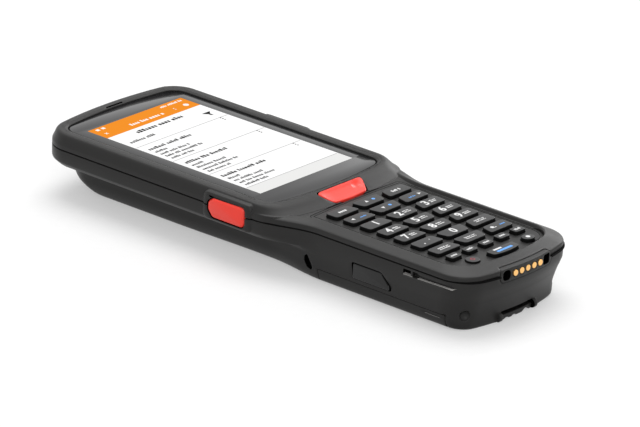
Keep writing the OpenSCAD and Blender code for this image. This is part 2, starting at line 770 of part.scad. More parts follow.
module keypad_panel() {
    color(shell) translate([0, 0, panel_z - panel_t]) linear_extrude(panel_t) difference() {
        plan(panel_outline());
        for (k = MAIN_KEYS) translate([k[1]*key_pitch_x, row_y(k[2])]) main_plan(k[1], key_gap);
        for (x = small_x) translate([x, small_y]) small_plan(key_gap);
        translate(power_at) round_plan(5.4, key_gap);
        translate(settings_at) round_plan(5, key_gap);
        translate([0, foot_y]) wide_plan(key_gap);
    }
}

function key_places() = concat([for (k = MAIN_KEYS) [k[1]*key_pitch_x, row_y(k[2])]],
    [for (x = small_x) [x, small_y]], [power_at, settings_at, [0, foot_y]]);

module keypad_mat() {
    color(rubber) prism(panel_outline(0.3), mat_z - mat_t, mat_z);
}

module key_domes() {
    color("gold") for (p = key_places())
        translate([p[0], p[1], mat_z - mat_t - dome_t]) cylinder(d = 3.6, h = dome_t, $fn = 16);
}

module keypad_board() {
    color("darkgreen") prism(panel_outline(0.3), board_z, board_z + board_t);
}

// ---------------------------------------------------------------- charging end

module contact_block() {
    color("black") difference() {
        box([-contact_w/2, contact_y, contact_z - contact_h/2],
            [contact_w/2, contact_y + 4, contact_z + contact_h/2]);
        for (s = [-1, 1])
            box([s*(contact_w/2 - 3.2) - 1.6, contact_y - 1, contact_z - 1.8],
                [s*(contact_w/2 - 3.2) + 1.6, contact_y + 2, contact_z + 1.8]);
        for (i = [0:pin_count - 1]) pin_bore(i);
    }
}

module pin_place(i) {
    translate([(i - (pin_count - 1)/2)*pin_pitch, contact_y, contact_z]) rotate([-90, 0, 0])
        children();
}

module pin_bore(i) {
    pin_place(i) translate([0, 0, -1]) cylinder(d = pin_d + 0.06, h = 7);
}

module charging_pins() {
    color("gold") for (i = [0:pin_count - 1]) pin_place(i) translate([0, 0, -0.5])
        cylinder(d = pin_d, h = 4.6);
}

module strap_bar() {
    color("dimgray") translate([0, strap_y, strap_z]) rotate([0, 90, 0])
        cylinder(d = strap_bar_d, h = strap_span + 2.4, center = true);
}

// ---------------------------------------------------------------- battery

module battery_pack() {
    y0 = door_end + 2;
    z1 = bay_top - 0.3;
    color("dimgray") block([-battery_w/2, y0, z1 - battery_t],
        [battery_w/2, y0 + battery_len, z1], 2);
}

module battery_contacts() {
    y0 = door_end + 2 + battery_len;
    color("gold") for (x = [-6, -2, 2, 6])
        box([x - 0.9, y0 + 0.3, 6], [x + 0.9, door_start + 2.2, 12]);
}

// Door under the battery: a slice of the housing's skin, ribbed inside, with rounded
// finger grooves outside
module battery_door() {
    color(shell) difference() {
        union() {
            intersection() {
                difference() {
                    rear_form();
                    difference() {
                        rear_hollow();
                        for (y = [door_end + 2, door_start - 3])
                            box([-40, y, 0], [40, y + 1.6, 3.2]);
                    }
                }
                door_space(0);
            }
            translate([0, hinge_y, hinge_z]) rotate([0, 90, 0])
                for (x = [-16, 16]) translate([0, 0, x])
                    cylinder(r = 0.9, h = 6, center = true, $fn = 20);
        }
        for (i = [0:7]) hull() for (k = [-1, 1])
            translate([k*(6 + i*0.6), door_start - 6 - i*1.8, -0.35])
                cylinder(r = 0.5, h = 0.8, $fn = 12);
    }
}

module latch(side) {
    color(key_black) {
        translate([side*(latch_out - 1.5), latch_y, latch_z]) rotate([90, 0, 90])
            linear_extrude(3, center = true) latch_plan(0);
        // lug that stops short of the battery when the latch is pressed in
        x = [side*(battery_w/2 + latch_travel + 1), side*(latch_out - 2.6)];
        box([min(x), latch_y - 3, latch_z - 2], [max(x), latch_y + 3, latch_z + 2]);
    }
}

module door_latch_left() { latch(-1); }
module door_latch_right() { latch(1); }

front_housing();
rear_housing();
housing_gasket();
housing_screws();
touch_glass();
display_panel();
display_frame();
receiver();
keypad_panel();
keypad_mat();
key_domes();
keypad_board();
main_board();
scan_engine();
scan_window();
loudspeaker();
side_switches();
contact_block();
charging_pins();
strap_bar();
battery_pack();
battery_contacts();
battery_door();
door_latch_left();
door_latch_right();
front_scan_key();
left_scan_button();
volume_rocker();
main_key(-1, 0);  // key_escape
main_key(0, 0);  // key_up
main_key(1, 0);  // key_enter
main_key(-1, 1);  // key_left
main_key(0, 1);  // key_down
main_key(1, 1);  // key_right
main_key(-1, 2);  // key_1
main_key(0, 2);  // key_2
main_key(1, 2);  // key_3
main_key(-1, 3);  // key_4
main_key(0, 3);  // key_5
main_key(1, 3);  // key_6
main_key(-1, 4);  // key_7
main_key(0, 4);  // key_8
main_key(1, 4);  // key_9
main_key(-1, 5);  // key_point
main_key(0, 5);  // key_0
main_key(1, 5);  // key_symbol
main_key(-1, 6);  // key_input
main_key(0, 6);  // key_clear
main_key(1, 6);  // key_tools
small_key(0);  // key_f1
small_key(1);  // key_f2
small_key(2);  // key_f3
small_key(3);  // key_f4
small_key(4);  // key_f5
key_power();
key_function();
key_settings();
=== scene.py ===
"""Looks of a portable barcode data terminal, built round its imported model.

Lengths below are millimetres in the terminal's own frame: +Z up through the glass, +Y towards
the scanning end. A piece becomes metres when it is placed on its body.
"""

import math
import random

import bmesh
import bpy
from bpy.props import FloatProperty, FloatVectorProperty, IntProperty, PointerProperty
from mathutils import Matrix, Vector


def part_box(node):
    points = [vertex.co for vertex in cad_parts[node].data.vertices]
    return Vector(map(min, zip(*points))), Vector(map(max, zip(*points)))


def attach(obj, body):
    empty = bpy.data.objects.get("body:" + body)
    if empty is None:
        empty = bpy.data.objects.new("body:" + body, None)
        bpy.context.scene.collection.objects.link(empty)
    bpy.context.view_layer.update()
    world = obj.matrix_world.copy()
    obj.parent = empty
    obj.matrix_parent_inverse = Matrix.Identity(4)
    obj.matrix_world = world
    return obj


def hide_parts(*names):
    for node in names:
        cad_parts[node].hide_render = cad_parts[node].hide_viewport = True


bl_info = {
    "name": "Portable data terminal",
    "version": (1, 0, 0),
    "blender": (4, 5, 0),
    "location": "3D View > Sidebar > Terminal",
    "description": "Builds the finished surfaces of a portable barcode data terminal",
    "category": "Add Mesh",
}

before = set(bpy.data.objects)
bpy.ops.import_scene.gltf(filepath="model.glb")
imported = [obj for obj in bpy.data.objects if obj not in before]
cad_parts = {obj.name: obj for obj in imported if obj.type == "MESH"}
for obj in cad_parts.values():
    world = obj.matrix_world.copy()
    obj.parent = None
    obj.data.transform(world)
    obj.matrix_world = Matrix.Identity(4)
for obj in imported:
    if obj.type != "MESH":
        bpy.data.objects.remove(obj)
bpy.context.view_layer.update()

MM = 0.001
STATIC = "terminal"  # the body that everything fixed rides on


def corners(node):
    """Lowest and highest corner of a CAD node, in millimetres."""
    low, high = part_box(node)
    return low / MM, high / MM


# ---------------------------------------------------------------- sizes from the frame

GLASS_LOW, GLASS_HIGH = corners("touch_glass")
SCREEN_LOW, SCREEN_HIGH = corners("display_panel")
SEAL_LOW, SEAL_HIGH = corners("housing_gasket")
PANEL_LOW, PANEL_HIGH = corners("keypad_panel")
DOOR_LOW, DOOR_HIGH = corners("battery_door")
SEAL_INSET = 0.35  # the seal lies this far inside the body's outline
LATCH_INSET = 0.5  # and a latch this far inside the tail's side
SCREEN_BORDER = 2  # the display module's rim outside its lit area
HEAD_X = SEAL_HIGH.x + SEAL_INSET  # half width of the display head
HEAD_END = SEAL_HIGH.y + SEAL_INSET  # the scanning end
TAIL_X = corners("door_latch_right")[1].x + LATCH_INSET  # half width of the keypad tail
TAIL_END = SEAL_LOW.y - SEAL_INSET  # the charging end
REAR_TOP = SEAL_LOW.z  # the rear shell ends here
PARTING = SEAL_HIGH.z  # and the front shell begins here
CREST = corners("front_housing")[1].z
GLASS_Z = GLASS_HIGH.z
GLASS_THICK = GLASS_HIGH.z - GLASS_LOW.z
PANEL_Z = PANEL_HIGH.z
SLOPE_FOOT = GLASS_LOW.y - 11  # the slope from the glass ends here, at the keypad
WAIST_START = -4.5  # the head's width changes to the tail's between these
WAIST_END = -31.5
WALL = 2.2
FIT = 0.15  # gap round a fixed part in its seat


# ---------------------------------------------------------------- settings

class TerminalSizes(bpy.types.PropertyGroup):
    """Sizes of the finish that can be changed before the pieces are built."""

    edge_round: FloatProperty(
        name="Moulded edge", description="Radius of the housings' small edges, in millimetres",
        default=0.18, min=0.05, max=0.4)
    key_round: FloatProperty(
        name="Key edge", description="Radius round the top of a key, in millimetres",
        default=0.36, min=0.2, max=0.8)
    key_corner: FloatProperty(
        name="Key corner", description="Radius of a key's corners in plan, in millimetres",
        default=1.4, min=0.8, max=2)
    print_rise: FloatProperty(
        name="Print thickness", description="How far a printed legend stands up, in millimetres",
        default=0.03, min=0.01, max=0.1)
    skin_steps: IntProperty(
        name="Skin steps", description="Rings laid between two stations of a housing's skin",
        default=4, min=2, max=8)


class TerminalColours(bpy.types.PropertyGroup):
    """Colours of the finishes."""

    shell: FloatVectorProperty(
        name="Housing", description="Colour of the moulded housings", subtype="COLOR",
        default=(0.013, 0.0125, 0.012), min=0, max=1)
    keys: FloatVectorProperty(
        name="Keys", description="Colour of the keycaps", subtype="COLOR",
        default=(0.014, 0.014, 0.0145), min=0, max=1)
    scan: FloatVectorProperty(
        name="Scan keys", description="Colour of the scan keys", subtype="COLOR",
        default=(1.0, 0.05, 0.03), min=0, max=1)
    header: FloatVectorProperty(
        name="Screen header", description="Colour of the bar at the top of the screen",
        subtype="COLOR", default=(0.86, 0.27, 0.016), min=0, max=1)


def sizes():
    """The sizes that the scene holds."""
    return bpy.context.scene.terminal_sizes


def colours():
    """The colours that the scene holds."""
    return bpy.context.scene.terminal_colours


# ---------------------------------------------------------------- outlines

END_STEPS = 10
CORNER_STEPS = 14
SIDE_STEPS = 16
WAIST_STEPS = 22
CORNER = 12.5  # radius of the body's corners in plan
HEAD_BOW = 2  # the middle of an end stands this far past its corners
TAIL_BOW = 2.6
WAIST = (WAIST_START, WAIST_END)
EVEN = (25, 15)  # stands for the waist in an outline of one width
PANEL_EVEN = (-45, -50)
SLOPE_CORNER = 13
SLOPE_BOW = 3
ARCH_HEIGHT = 0.4  # the underside rises this much below the waist
ARCH_MIDDLE = WAIST_START + 7
ARCH_HEADWARD = 42
ARCH_TAILWARD = 30


def ease(share):
    """Soft step from 0 to 1."""
    return (1 - math.cos(math.pi * min(1, max(0, share)))) / 2


def end_arc(width, end, radius, bow):
    """Bowed end with its round corner, from the middle line outwards."""
    lean = math.atan(2 * bow / (width - radius))
    reach = width - radius + radius * math.sin(lean)
    centre = end - bow - radius * math.cos(lean)
    points = []
    for i in range(END_STEPS):
        x = reach * (i + 0.5) / END_STEPS
        points.append((x, end - bow * (x / reach) ** 2))
    for i in range(CORNER_STEPS + 1):
        turn = (math.pi / 2 - lean) * (1 - i / CORNER_STEPS)
        points.append((width - radius + radius * math.cos(turn), centre + radius * math.sin(turn)))
    return points


def outline(head, tail, waist=WAIST):
    """Closed outline of a body: head and tail are (half width, end, corner radius, bow), and
    the half width changes from one to the other along the waist."""
    y0, y1 = waist
    half = end_arc(*head)
    low = [(x, -y) for x, y in reversed(end_arc(tail[0], -tail[1], tail[2], tail[3]))]
    top_y, low_y = half[-1][1], low[0][1]
    for i in range(1, SIDE_STEPS):
        half.append((head[0], top_y + (y0 - top_y) * i / SIDE_STEPS))
    for i in range(WAIST_STEPS + 1):
        share = i / WAIST_STEPS
        half.append((head[0] + (tail[0] - head[0]) * ease(share), y0 + (y1 - y0) * share))
    for i in range(1, SIDE_STEPS):
        half.append((tail[0], y1 + (low_y - y1) * i / SIDE_STEPS))
    half += low
    return half + [(-x, y) for x, y in reversed(half)]


def body_outline(inset=0.0):
    """Outline of the whole terminal."""
    radius = CORNER - inset / 2
    return outline((HEAD_X - inset, HEAD_END - inset, radius, HEAD_BOW),
                   (TAIL_X - inset, TAIL_END + inset, radius, TAIL_BOW))


def head_outline(side, top, low):
    """Outline of the display head down to its slope."""
    climb = low - SLOPE_FOOT
    return outline((side, top, CORNER - (HEAD_X - side) * 0.9, HEAD_BOW),
                   (side, low, SLOPE_CORNER - climb * 0.55, SLOPE_BOW - climb * 0.1), EVEN)


def glass_outline(grow=0.0):
    """Outline of the cover glass."""
    half, radius = GLASS_HIGH.x + grow, 6 + grow
    return outline((half, GLASS_HIGH.y + grow, radius, 1.8),
                   (half, GLASS_LOW.y - grow, radius, 2), EVEN)


def panel_outline(grow=0.0):
    """Outline of the keypad panel."""
    half = PANEL_HIGH.x + grow
    return outline((half, PANEL_HIGH.y + grow, max(1.5 + grow, 0.4), 0.5),
                   (half, PANEL_LOW.y - grow, 9 + grow, 2.2), PANEL_EVEN)


def tailward(y):
    """0 on the head, 1 on the tail."""
    return ease((WAIST_START - y) / (WAIST_START - WAIST_END))


def arch(y):
    """Lift of the underside below the waist."""
    offset = y - ARCH_MIDDLE
    reach = ARCH_HEADWARD if offset > 0 else ARCH_TAILWARD
    if abs(offset) >= reach:
        return 0.0
    return ARCH_HEIGHT * math.cos(math.pi / 2 * offset / reach) ** 2


def level(points, head_z, tail_z=None, lift=0.0):
    """The outline as a loop in space, with a height on the head and one on the tail."""
    tail_z = head_z if tail_z is None else tail_z
    return [(x, y, head_z + (tail_z - head_z) * tailward(y) + lift * arch(y)) for x, y in points]


def flow(stations, steps):
    """Stations joined by a curve that passes through each, with steps between each two."""
    last = len(stations) - 1
    made = []
    for i in range(last):
        before, here = stations[max(i - 1, 0)], stations[i]
        after, beyond = stations[i + 1], stations[min(i + 2, last)]
        for k in range(steps):
            t = k / steps
            made.append(tuple(
                0.5 * (2 * q + (r - p) * t + (2 * p - 5 * q + 4 * r - s) * t * t
                       + (3 * q - p - 3 * r + s) * t ** 3)
                for p, q, r, s in zip(before, here, after, beyond)))
    return made + [stations[-1]]


# ---------------------------------------------------------------- mesh tools

TOUCH = 1e-4  # a vertex this near a plane lies on it
PAINTED_SHADE, PAINTED_HIGHLIGHT = 1, 2  # numbers of a shell's painted shade in its hollows and of the painted highlight on its ledges


def ladder(mesh, verts):
    """Fills a loop whose two halves mirror each other with a row of level faces."""
    last = len(verts) - 1
    for i in range(len(verts) // 2 - 1):
        mesh.faces.new((verts[i], verts[i + 1], verts[last - i - 1], verts[last - i]))


def loft(rings, closed=False):
    """Skin over loops of equal count whose halves mirror each other. A closed one joins its
    last loop to the first."""
    mesh = bmesh.new()
    verts = [mesh.verts.new(p) for p in rings[0]]
    edges = [mesh.edges.new(pair) for pair in zip(verts, verts[1:] + verts[:1])]
    first = list(verts)
    for ring in list(rings[1:]) + ([rings[0]] if closed else []):
        grown = bmesh.ops.extrude_edge_only(mesh, edges=edges)["geom"]
        fresh = {g for g in grown if isinstance(g, bmesh.types.BMVert)}
        verts = [next(e.other_vert(v) for e in v.link_edges if e.other_vert(v) in fresh)
                 for v in verts]
        edges = [mesh.edges.get(pair) for pair in zip(verts, verts[1:] + verts[:1])]
        for vert, spot in zip(verts, ring):
            vert.co = spot
    if closed:
        bmesh.ops.remove_doubles(mesh, verts=mesh.verts, dist=1e-5)
    else:
        ladder(mesh, first)
        ladder(mesh, verts)
    bmesh.ops.recalc_face_normals(mesh, faces=mesh.faces)
    return mesh


def column(points, low, high):
    """Straight solid between two heights over an outline."""
    return loft([[(x, y, z) for x, y in points] for z in (low, high)])


def stack(shape, steps, closed=False):
    """Skin over an outline that is grown and set at a height in each (grow, height) step."""
    return loft([[(x, y, z) for x, y in shape(grow)] for grow, z in steps], closed)


def prism(points, low, high, axis="Z", radius=0.0, segments=4):
    """Straight solid over a plan, with its upright edges rounded. Along X the plan is (y, z)
    and along Y it is (x, z)."""
    mesh = bmesh.new()
    turn = {"Z": lambda p, h: (p[0], p[1], h), "X": lambda p, h: (h, p[0], p[1]),
            "Y": lambda p, h: (p[0], h, p[1])}[axis]
    face = mesh.faces.new([mesh.verts.new(turn(p, low)) for p in points])
    grown = bmesh.ops.extrude_face_region(mesh, geom=[face])["geom"]
    top = [g for g in grown if isinstance(g, bmesh.types.BMVert)]
    bmesh.ops.translate(mesh, verts=top, vec=turn((0, 0), high - low))
    if radius:
        tops = set(top)
        upright = [e for e in mesh.edges if (e.verts[0] in tops) != (e.verts[1] in tops)]
        bmesh.ops.bevel(mesh, geom=upright, offset=radius, segments=segments, profile=0.5,
                        affect="EDGES", material=-1, clamp_overlap=True)
    bmesh.ops.recalc_face_normals(mesh, faces=mesh.faces)
    return mesh


def side_prism(points, side, inner, outer, radius=0.0, segments=4):
    """Solid over a (y, z) plan on one side of the terminal, between two half widths."""
    x = sorted((side * inner, side * outer))
    return prism(points, x[0], x[1], "X", radius, segments)


def box(low, high):
    """Block between two corners."""
    mesh = bmesh.new()
    size = Vector(high) - Vector(low)
    spot = Matrix.Translation((Vector(high) + Vector(low)) / 2) @ Matrix.Diagonal((*size, 1))
    bmesh.ops.create_cube(mesh, size=1, matrix=spot)
    return mesh


AXIS_TURN = {"Z": Matrix.Identity(4), "X": Matrix.Rotation(math.pi / 2, 4, "Y"),
             "Y": Matrix.Rotation(math.pi / 2, 4, "X")}


def rod(centre, radius, length, axis="Z", segments=32):
    """Round bar about its centre."""
    mesh = bmesh.new()
    bmesh.ops.create_cone(
        mesh, cap_ends=True, segments=segments, radius1=radius, radius2=radius, depth=length,
        matrix=Matrix.Translation(centre) @ AXIS_TURN[axis])
    return mesh


def rectangle(x, y, width, height):
    """Plan of a rectangle about its middle."""
    return [(x - width / 2, y - height / 2), (x + width / 2, y - height / 2),
            (x + width / 2, y + height / 2), (x - width / 2, y + height / 2)]


def oval(x, y, half_x, half_y, half_count):
    """Plan of an oval about its middle, with twice half_count corners."""
    turns = [k * math.pi / half_count for k in range(2 * half_count)]
    return [(x + half_x * math.cos(t), y + half_y * math.sin(t)) for t in turns]


def round_rim(mesh, axis, at, width, segments, profile=0.5, clamp=True):
    """Rounds the edges that lie at one place on an axis, 0 for X to 2 for Z."""
    rim = [e for e in mesh.edges if all(abs(v.co[axis] - at) < TOUCH for v in e.verts)]
    bmesh.ops.bevel(mesh, geom=rim, offset=width, segments=segments, profile=profile,
                    affect="EDGES", material=-1, clamp_overlap=clamp)
    return mesh


def paint(mesh, number, test=None, rest=0):
    """Gives the faces whose normal passes the test one finish, and the rest another."""
    for face in mesh.faces:
        face.material_index = number if test is None or test(face.normal) else rest
    return mesh


def looks_down(normal):
    """Whether a face looks down, for paint."""
    return normal.z < -0.5


def looks_up(normal):
    """Whether a face looks up, for paint."""
    return normal.z > 0.5


def looks_sideways(normal):
    """Whether a face looks to the left or the right, for paint."""
    return abs(normal.x) > 0.5


def dark(mesh):
    """Marks a tool whose cut walls take the painted shade that falls in a hollow."""
    return paint(mesh, PAINTED_SHADE)


def add(mesh, other, material=0):
    """Adds another mesh, whose faces take the material's number."""
    paint(other, material)
    data = bpy.data.meshes.new("part")
    other.to_mesh(data)
    other.free()
    mesh.from_mesh(data)
    bpy.data.meshes.remove(data)


def as_object(name, mesh):
    """Makes the mesh an object of the scene."""
    data = bpy.data.meshes.new(name)
    mesh.to_mesh(data)
    mesh.free()
    made = bpy.data.objects.new(name, data)
    bpy.context.scene.collection.objects.link(made)
    return made


def as_mesh(piece):
    """Takes an object out of the scene and keeps its mesh as a tool."""
    mesh = bmesh.new()
    mesh.from_mesh(piece.data)
    bpy.data.objects.remove(piece)
    return mesh


def join(piece, other, material=0):
    """Adds a mesh to an object."""
    mesh = bmesh.new()
    mesh.from_mesh(piece.data)
    add(mesh, other, material)
    mesh.to_mesh(piece.data)
    mesh.free()


def combine(target, tools, operation):
    """Unites, cuts or crosses the target object with each tool mesh."""
    for tool in tools:
        other = as_object("tool", tool)
        step = target.modifiers.new("step", "BOOLEAN")
        step.operation = operation
        step.solver = "EXACT"
        step.object = other
        graph = bpy.context.evaluated_depsgraph_get()
        result = bpy.data.meshes.new_from_object(target.evaluated_get(graph))
        target.modifiers.clear()
        target.data = result
        bpy.data.objects.remove(other)
    return target


def cut(target, *tools):
    """Cuts each tool mesh out of the target object."""
    return combine(target, tools, "DIFFERENCE")


def soften(target, width, angle=28, segments=2, clean=0.02):
    """Rounds the edges that turn by more than the angle."""
    mesh = bmesh.new()
    mesh.from_mesh(target.data)
    bmesh.ops.remove_doubles(mesh, verts=mesh.verts, dist=clean)
    bmesh.ops.dissolve_degenerate(mesh, edges=mesh.edges, dist=clean / 2)
    sharp = [e for e in mesh.edges
             if len(e.link_faces) == 2 and e.calc_face_angle(0) > math.radians(angle)]
    bmesh.ops.bevel(mesh, geom=sharp, offset=width, segments=segments, profile=0.5,
                    affect="EDGES", material=-1, clamp_overlap=False)
    mesh.to_mesh(target.data)
    mesh.free()
    return target


def place(target, body, finishes, replaced=(), smooth=32):
    """Turns a finished piece into metres and puts it on its body with its finishes."""
    data = target.data
    data.transform(Matrix.Scale(MM, 4))
    for polygon in data.polygons:
        polygon.use_smooth = True
    data.set_sharp_from_angle(angle=math.radians(smooth))
    numbers = [polygon.material_index for polygon in data.polygons]
    data.materials.clear()
    for made in finishes:
        data.materials.append(made)
    data.polygons.foreach_set("material_index", numbers)
    data.update()
    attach(target, body)
    if replaced:
        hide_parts(*replaced)
    return target


# ---------------------------------------------------------------- finishes

def group(name, inputs, outputs):
    """New shader node group with its sockets; a socket is (name, kind, default)."""
    tree = bpy.data.node_groups.new(name, "ShaderNodeTree")
    for label, kind, default in inputs:
        socket = tree.interface.new_socket(label, in_out="INPUT", socket_type=kind)
        socket.default_value = default
    for label, kind in outputs:
        tree.interface.new_socket(label, in_out="OUTPUT", socket_type=kind)
    return tree, tree.nodes.new("NodeGroupInput"), tree.nodes.new("NodeGroupOutput")


def node(tree, kind, links=(), **values):
    """New node; links are (input, socket) pairs and values set its properties."""
    made = tree.nodes.new(kind)
    for key, value in values.items():
        setattr(made, key, value)
    for key, source in links:
        if isinstance(source, bpy.types.NodeSocket):
            tree.links.new(source, made.inputs[key])
        else:
            made.inputs[key].default_value = source
    return made


def grain_group():
    """Moulded plastic: fine spark grain, slow colour drift and uneven gloss."""
    if "Moulded grain" in bpy.data.node_groups:
        return bpy.data.node_groups["Moulded grain"]
    tree, given, made = group("Moulded grain", [
        ("Colour", "NodeSocketColor", (0.04, 0.04, 0.04, 1)),
        ("Drift", "NodeSocketFloat", 0.1), ("Roughness", "NodeSocketFloat", 0.5),
        ("Spread", "NodeSocketFloat", 0.08), ("Grain scale", "NodeSocketFloat", 5000.0),
        ("Grain depth", "NodeSocketFloat", 0.1)],
        [("Colour", "NodeSocketColor"), ("Roughness", "NodeSocketFloat"),
         ("Normal", "NodeSocketVector")])
    where = node(tree, "ShaderNodeTexCoord").outputs["Object"]
    fine = node(tree, "ShaderNodeTexNoise", [
        ("Vector", where), ("Scale", given.outputs["Grain scale"]), ("Detail", 3.0)])
    slow = node(tree, "ShaderNodeTexNoise", [("Vector", where), ("Scale", 60.0), ("Detail", 4.0)])
    drift = node(tree, "ShaderNodeMath", [
        (0, slow.outputs["Fac"]), (1, 0.5)], operation="SUBTRACT")
    scaled = node(tree, "ShaderNodeMath", [
        (0, drift.outputs[0]), (1, given.outputs["Drift"])], operation="MULTIPLY")
    value = node(tree, "ShaderNodeMath", [(0, scaled.outputs[0]), (1, 1.0)], operation="ADD")
    tint = node(tree, "ShaderNodeHueSaturation", [
        ("Value", value.outputs[0]), ("Color", given.outputs["Colour"])])
    tree.links.new(tint.outputs["Color"], made.inputs["Colour"])
    uneven = node(tree, "ShaderNodeMath", [
        (0, fine.outputs["Fac"]), (1, given.outputs["Spread"])], operation="MULTIPLY")
    gloss = node(tree, "ShaderNodeMath", [
        (0, uneven.outputs[0]), (1, given.outputs["Roughness"])], operation="ADD")
    tree.links.new(gloss.outputs[0], made.inputs["Roughness"])
    bump = node(tree, "ShaderNodeBump", [
        ("Height", fine.outputs["Fac"]), ("Strength", given.outputs["Grain depth"]),
        ("Distance", 0.0001)])
    tree.links.new(bump.outputs["Normal"], made.inputs["Normal"])
    return tree


def wear_and_sheen_group():
    """Mask that is 1 on the edges that hands and cradles polish, and where the finish paints a
    lighter edge highlight.
    """
    if "Edge wear and sheen" in bpy.data.node_groups:
        return bpy.data.node_groups["Edge wear and sheen"]
    tree, given, made = group("Edge wear and sheen", [
        ("Width", "NodeSocketFloat", 0.0006), ("Amount", "NodeSocketFloat", 0.5)],
        [("Mask", "NodeSocketFloat")])
    flat = node(tree, "ShaderNodeNewGeometry").outputs["Normal"]
    rounded = node(tree, "ShaderNodeBevel", [("Radius", given.outputs["Width"])], samples=6)
    along = node(tree, "ShaderNodeVectorMath", [
        (0, flat), (1, rounded.outputs["Normal"])], operation="DOT_PRODUCT")
    edge = node(tree, "ShaderNodeMapRange", [
        ("Value", along.outputs["Value"]), ("From Min", 0.99), ("From Max", 0.86),
        ("To Min", 0.0), ("To Max", 1.0)])
    patch = node(tree, "ShaderNodeTexNoise", [
        ("Vector", node(tree, "ShaderNodeTexCoord").outputs["Object"]),
        ("Scale", 160.0), ("Detail", 5.0)])
    broken = node(tree, "ShaderNodeMath", [
        (0, edge.outputs[0]), (1, patch.outputs["Fac"])], operation="MULTIPLY")
    scaled = node(tree, "ShaderNodeMath", [
        (0, broken.outputs[0]), (1, given.outputs["Amount"])], operation="MULTIPLY")
    tree.links.new(scaled.outputs[0], made.inputs["Mask"])
    return tree


def finish(name, colour, rough, drift=0.12, spread=0.08, grain=5000.0, depth=0.1, wear_and_sheen=0.0,
           metal=0.0, coat=0.0, coat_rough=0.15, specular=0.5, glow=None, glow_strength=1.0):
    """Material whose colour, gloss and surface come from the grain group and from the group of edge
    wear and painted edge highlight.
    """
    if name in bpy.data.materials:
        return bpy.data.materials[name]
    made = bpy.data.materials.new(name)
    made.use_nodes = True
    tree = made.node_tree
    shader = tree.nodes["Principled BSDF"]
    shader.inputs["Metallic"].default_value = metal
    shader.inputs["Coat Weight"].default_value = coat
    shader.inputs["Coat Roughness"].default_value = coat_rough
    shader.inputs["Specular IOR Level"].default_value = specular
    base = node(tree, "ShaderNodeGroup", node_tree=grain_group())
    base.inputs["Colour"].default_value = (*colour, 1)
    base.inputs["Drift"].default_value = drift
    base.inputs["Roughness"].default_value = rough
    base.inputs["Spread"].default_value = spread
    base.inputs["Grain scale"].default_value = grain
    base.inputs["Grain depth"].default_value = depth
    shade = base.outputs["Colour"]
    gloss = base.outputs["Roughness"]
    if wear_and_sheen:
        edges = node(tree, "ShaderNodeGroup", node_tree=wear_and_sheen_group())
        edges.inputs["Amount"].default_value = wear_and_sheen
        # Edges are lifted towards this paler colour: partly wear, partly a painted highlight.
        pale = [min(1, c * 2.2 + 0.02) for c in colour]
        mixed = node(tree, "ShaderNodeMix", data_type="RGBA")
        tree.links.new(edges.outputs["Mask"], mixed.inputs["Factor"])
        tree.links.new(shade, mixed.inputs["A"])
        mixed.inputs["B"].default_value = (*pale, 1)
        shade = mixed.outputs["Result"]
        drop = node(tree, "ShaderNodeMath", [
            (0, edges.outputs["Mask"]), (1, -0.25), (2, gloss)], operation="MULTIPLY_ADD")
        gloss = drop.outputs[0]
    tree.links.new(shade, shader.inputs["Base Color"])
    tree.links.new(gloss, shader.inputs["Roughness"])
    tree.links.new(base.outputs["Normal"], shader.inputs["Normal"])
    if glow is not None:
        lit = node(tree, "ShaderNodeGroup", node_tree=grain_group())
        lit.inputs["Colour"].default_value = (*glow, 1)
        lit.inputs["Drift"].default_value = 0.02
        tree.links.new(lit.outputs["Colour"], shader.inputs["Emission Color"])
        shader.inputs["Emission Strength"].default_value = glow_strength
    return made


SHELL_GRAIN = 4200.0
KEY_GRAIN = 6500.0


def shell_finish():
    return finish("Moulded housing", colours().shell, 0.36, wear_and_sheen=0.4, depth=0.16,
                  grain=SHELL_GRAIN, specular=0.26)


def panel_finish():
    return finish("Keypad panel", tuple(c * 0.92 for c in colours().shell), 0.4,
                  depth=0.12, grain=SHELL_GRAIN, wear_and_sheen=0.3, specular=0.28)


def key_finish():
    return finish("Keycap", colours().keys, 0.34, depth=0.06, grain=KEY_GRAIN, wear_and_sheen=0.5,
                  specular=0.36)


# Darker, duller copy of the key colour: painted shade on the sides of keys and latches.
def painted_side_shade_finish():
    return finish("Painted key side shade", (0.004, 0.004, 0.004), 0.5, depth=0.06, grain=KEY_GRAIN,
                  specular=0.1)


def latch_finish():
    return finish("Latch", (0.009, 0.009, 0.009), 0.3, depth=0.1, grain=SHELL_GRAIN, wear_and_sheen=0.6,
                  specular=0.34)


# Pale colour on upward ledges: a painted highlight where light falls.
def painted_highlight_finish():
    return finish("Painted ledge highlight", (0.42, 0.41, 0.4), 0.3, depth=0.05, grain=SHELL_GRAIN,
                  specular=0.6)


# Near-black colour for the walls of openings, slots and coves: painted shade where shade falls.
def painted_shade_finish():
    return finish("Painted hollow shade", (0.001, 0.001, 0.001), 0.8, depth=0.1, specular=0.02)


def scan_finish():
    return finish("Scan key red", colours().scan, 0.32, depth=0.03, grain=KEY_GRAIN, drift=0.05,
                  coat=0.12, coat_rough=0.15, wear_and_sheen=0.25, specular=0.35)


# Black rubber of the seals; round the glass it also paints the gap's shade.
def seal_and_gap_shade_finish():
    return finish("Rubber seal and gap shade", (0.003, 0.003, 0.003), 0.7, depth=0.2, specular=0.05)


def print_white():
    return finish("White print", (0.8, 0.8, 0.8), 0.5, drift=0.06, depth=0.05)


def print_blue():
    return finish("Blue print", (0.1, 0.36, 0.85), 0.5, drift=0.06, depth=0.05)


def print_red():
    return finish("Red print", (0.3, 0.02, 0.035), 0.5, drift=0.06, depth=0.05)


def gold_finish():
    return finish("Gold plate", (0.95, 0.55, 0.2), 0.28, metal=1.0, drift=0.15, grain=2500.0,
                  depth=0.08)


def steel_finish():
    return finish("Steel", (0.45, 0.45, 0.46), 0.35, metal=1.0, grain=3000.0, depth=0.12)


def dark_finish():
    return finish("Black insulator", (0.006, 0.006, 0.006), 0.45, wear_and_sheen=0.5, depth=0.12,
                  specular=0.3)


# ---------------------------------------------------------------- housings

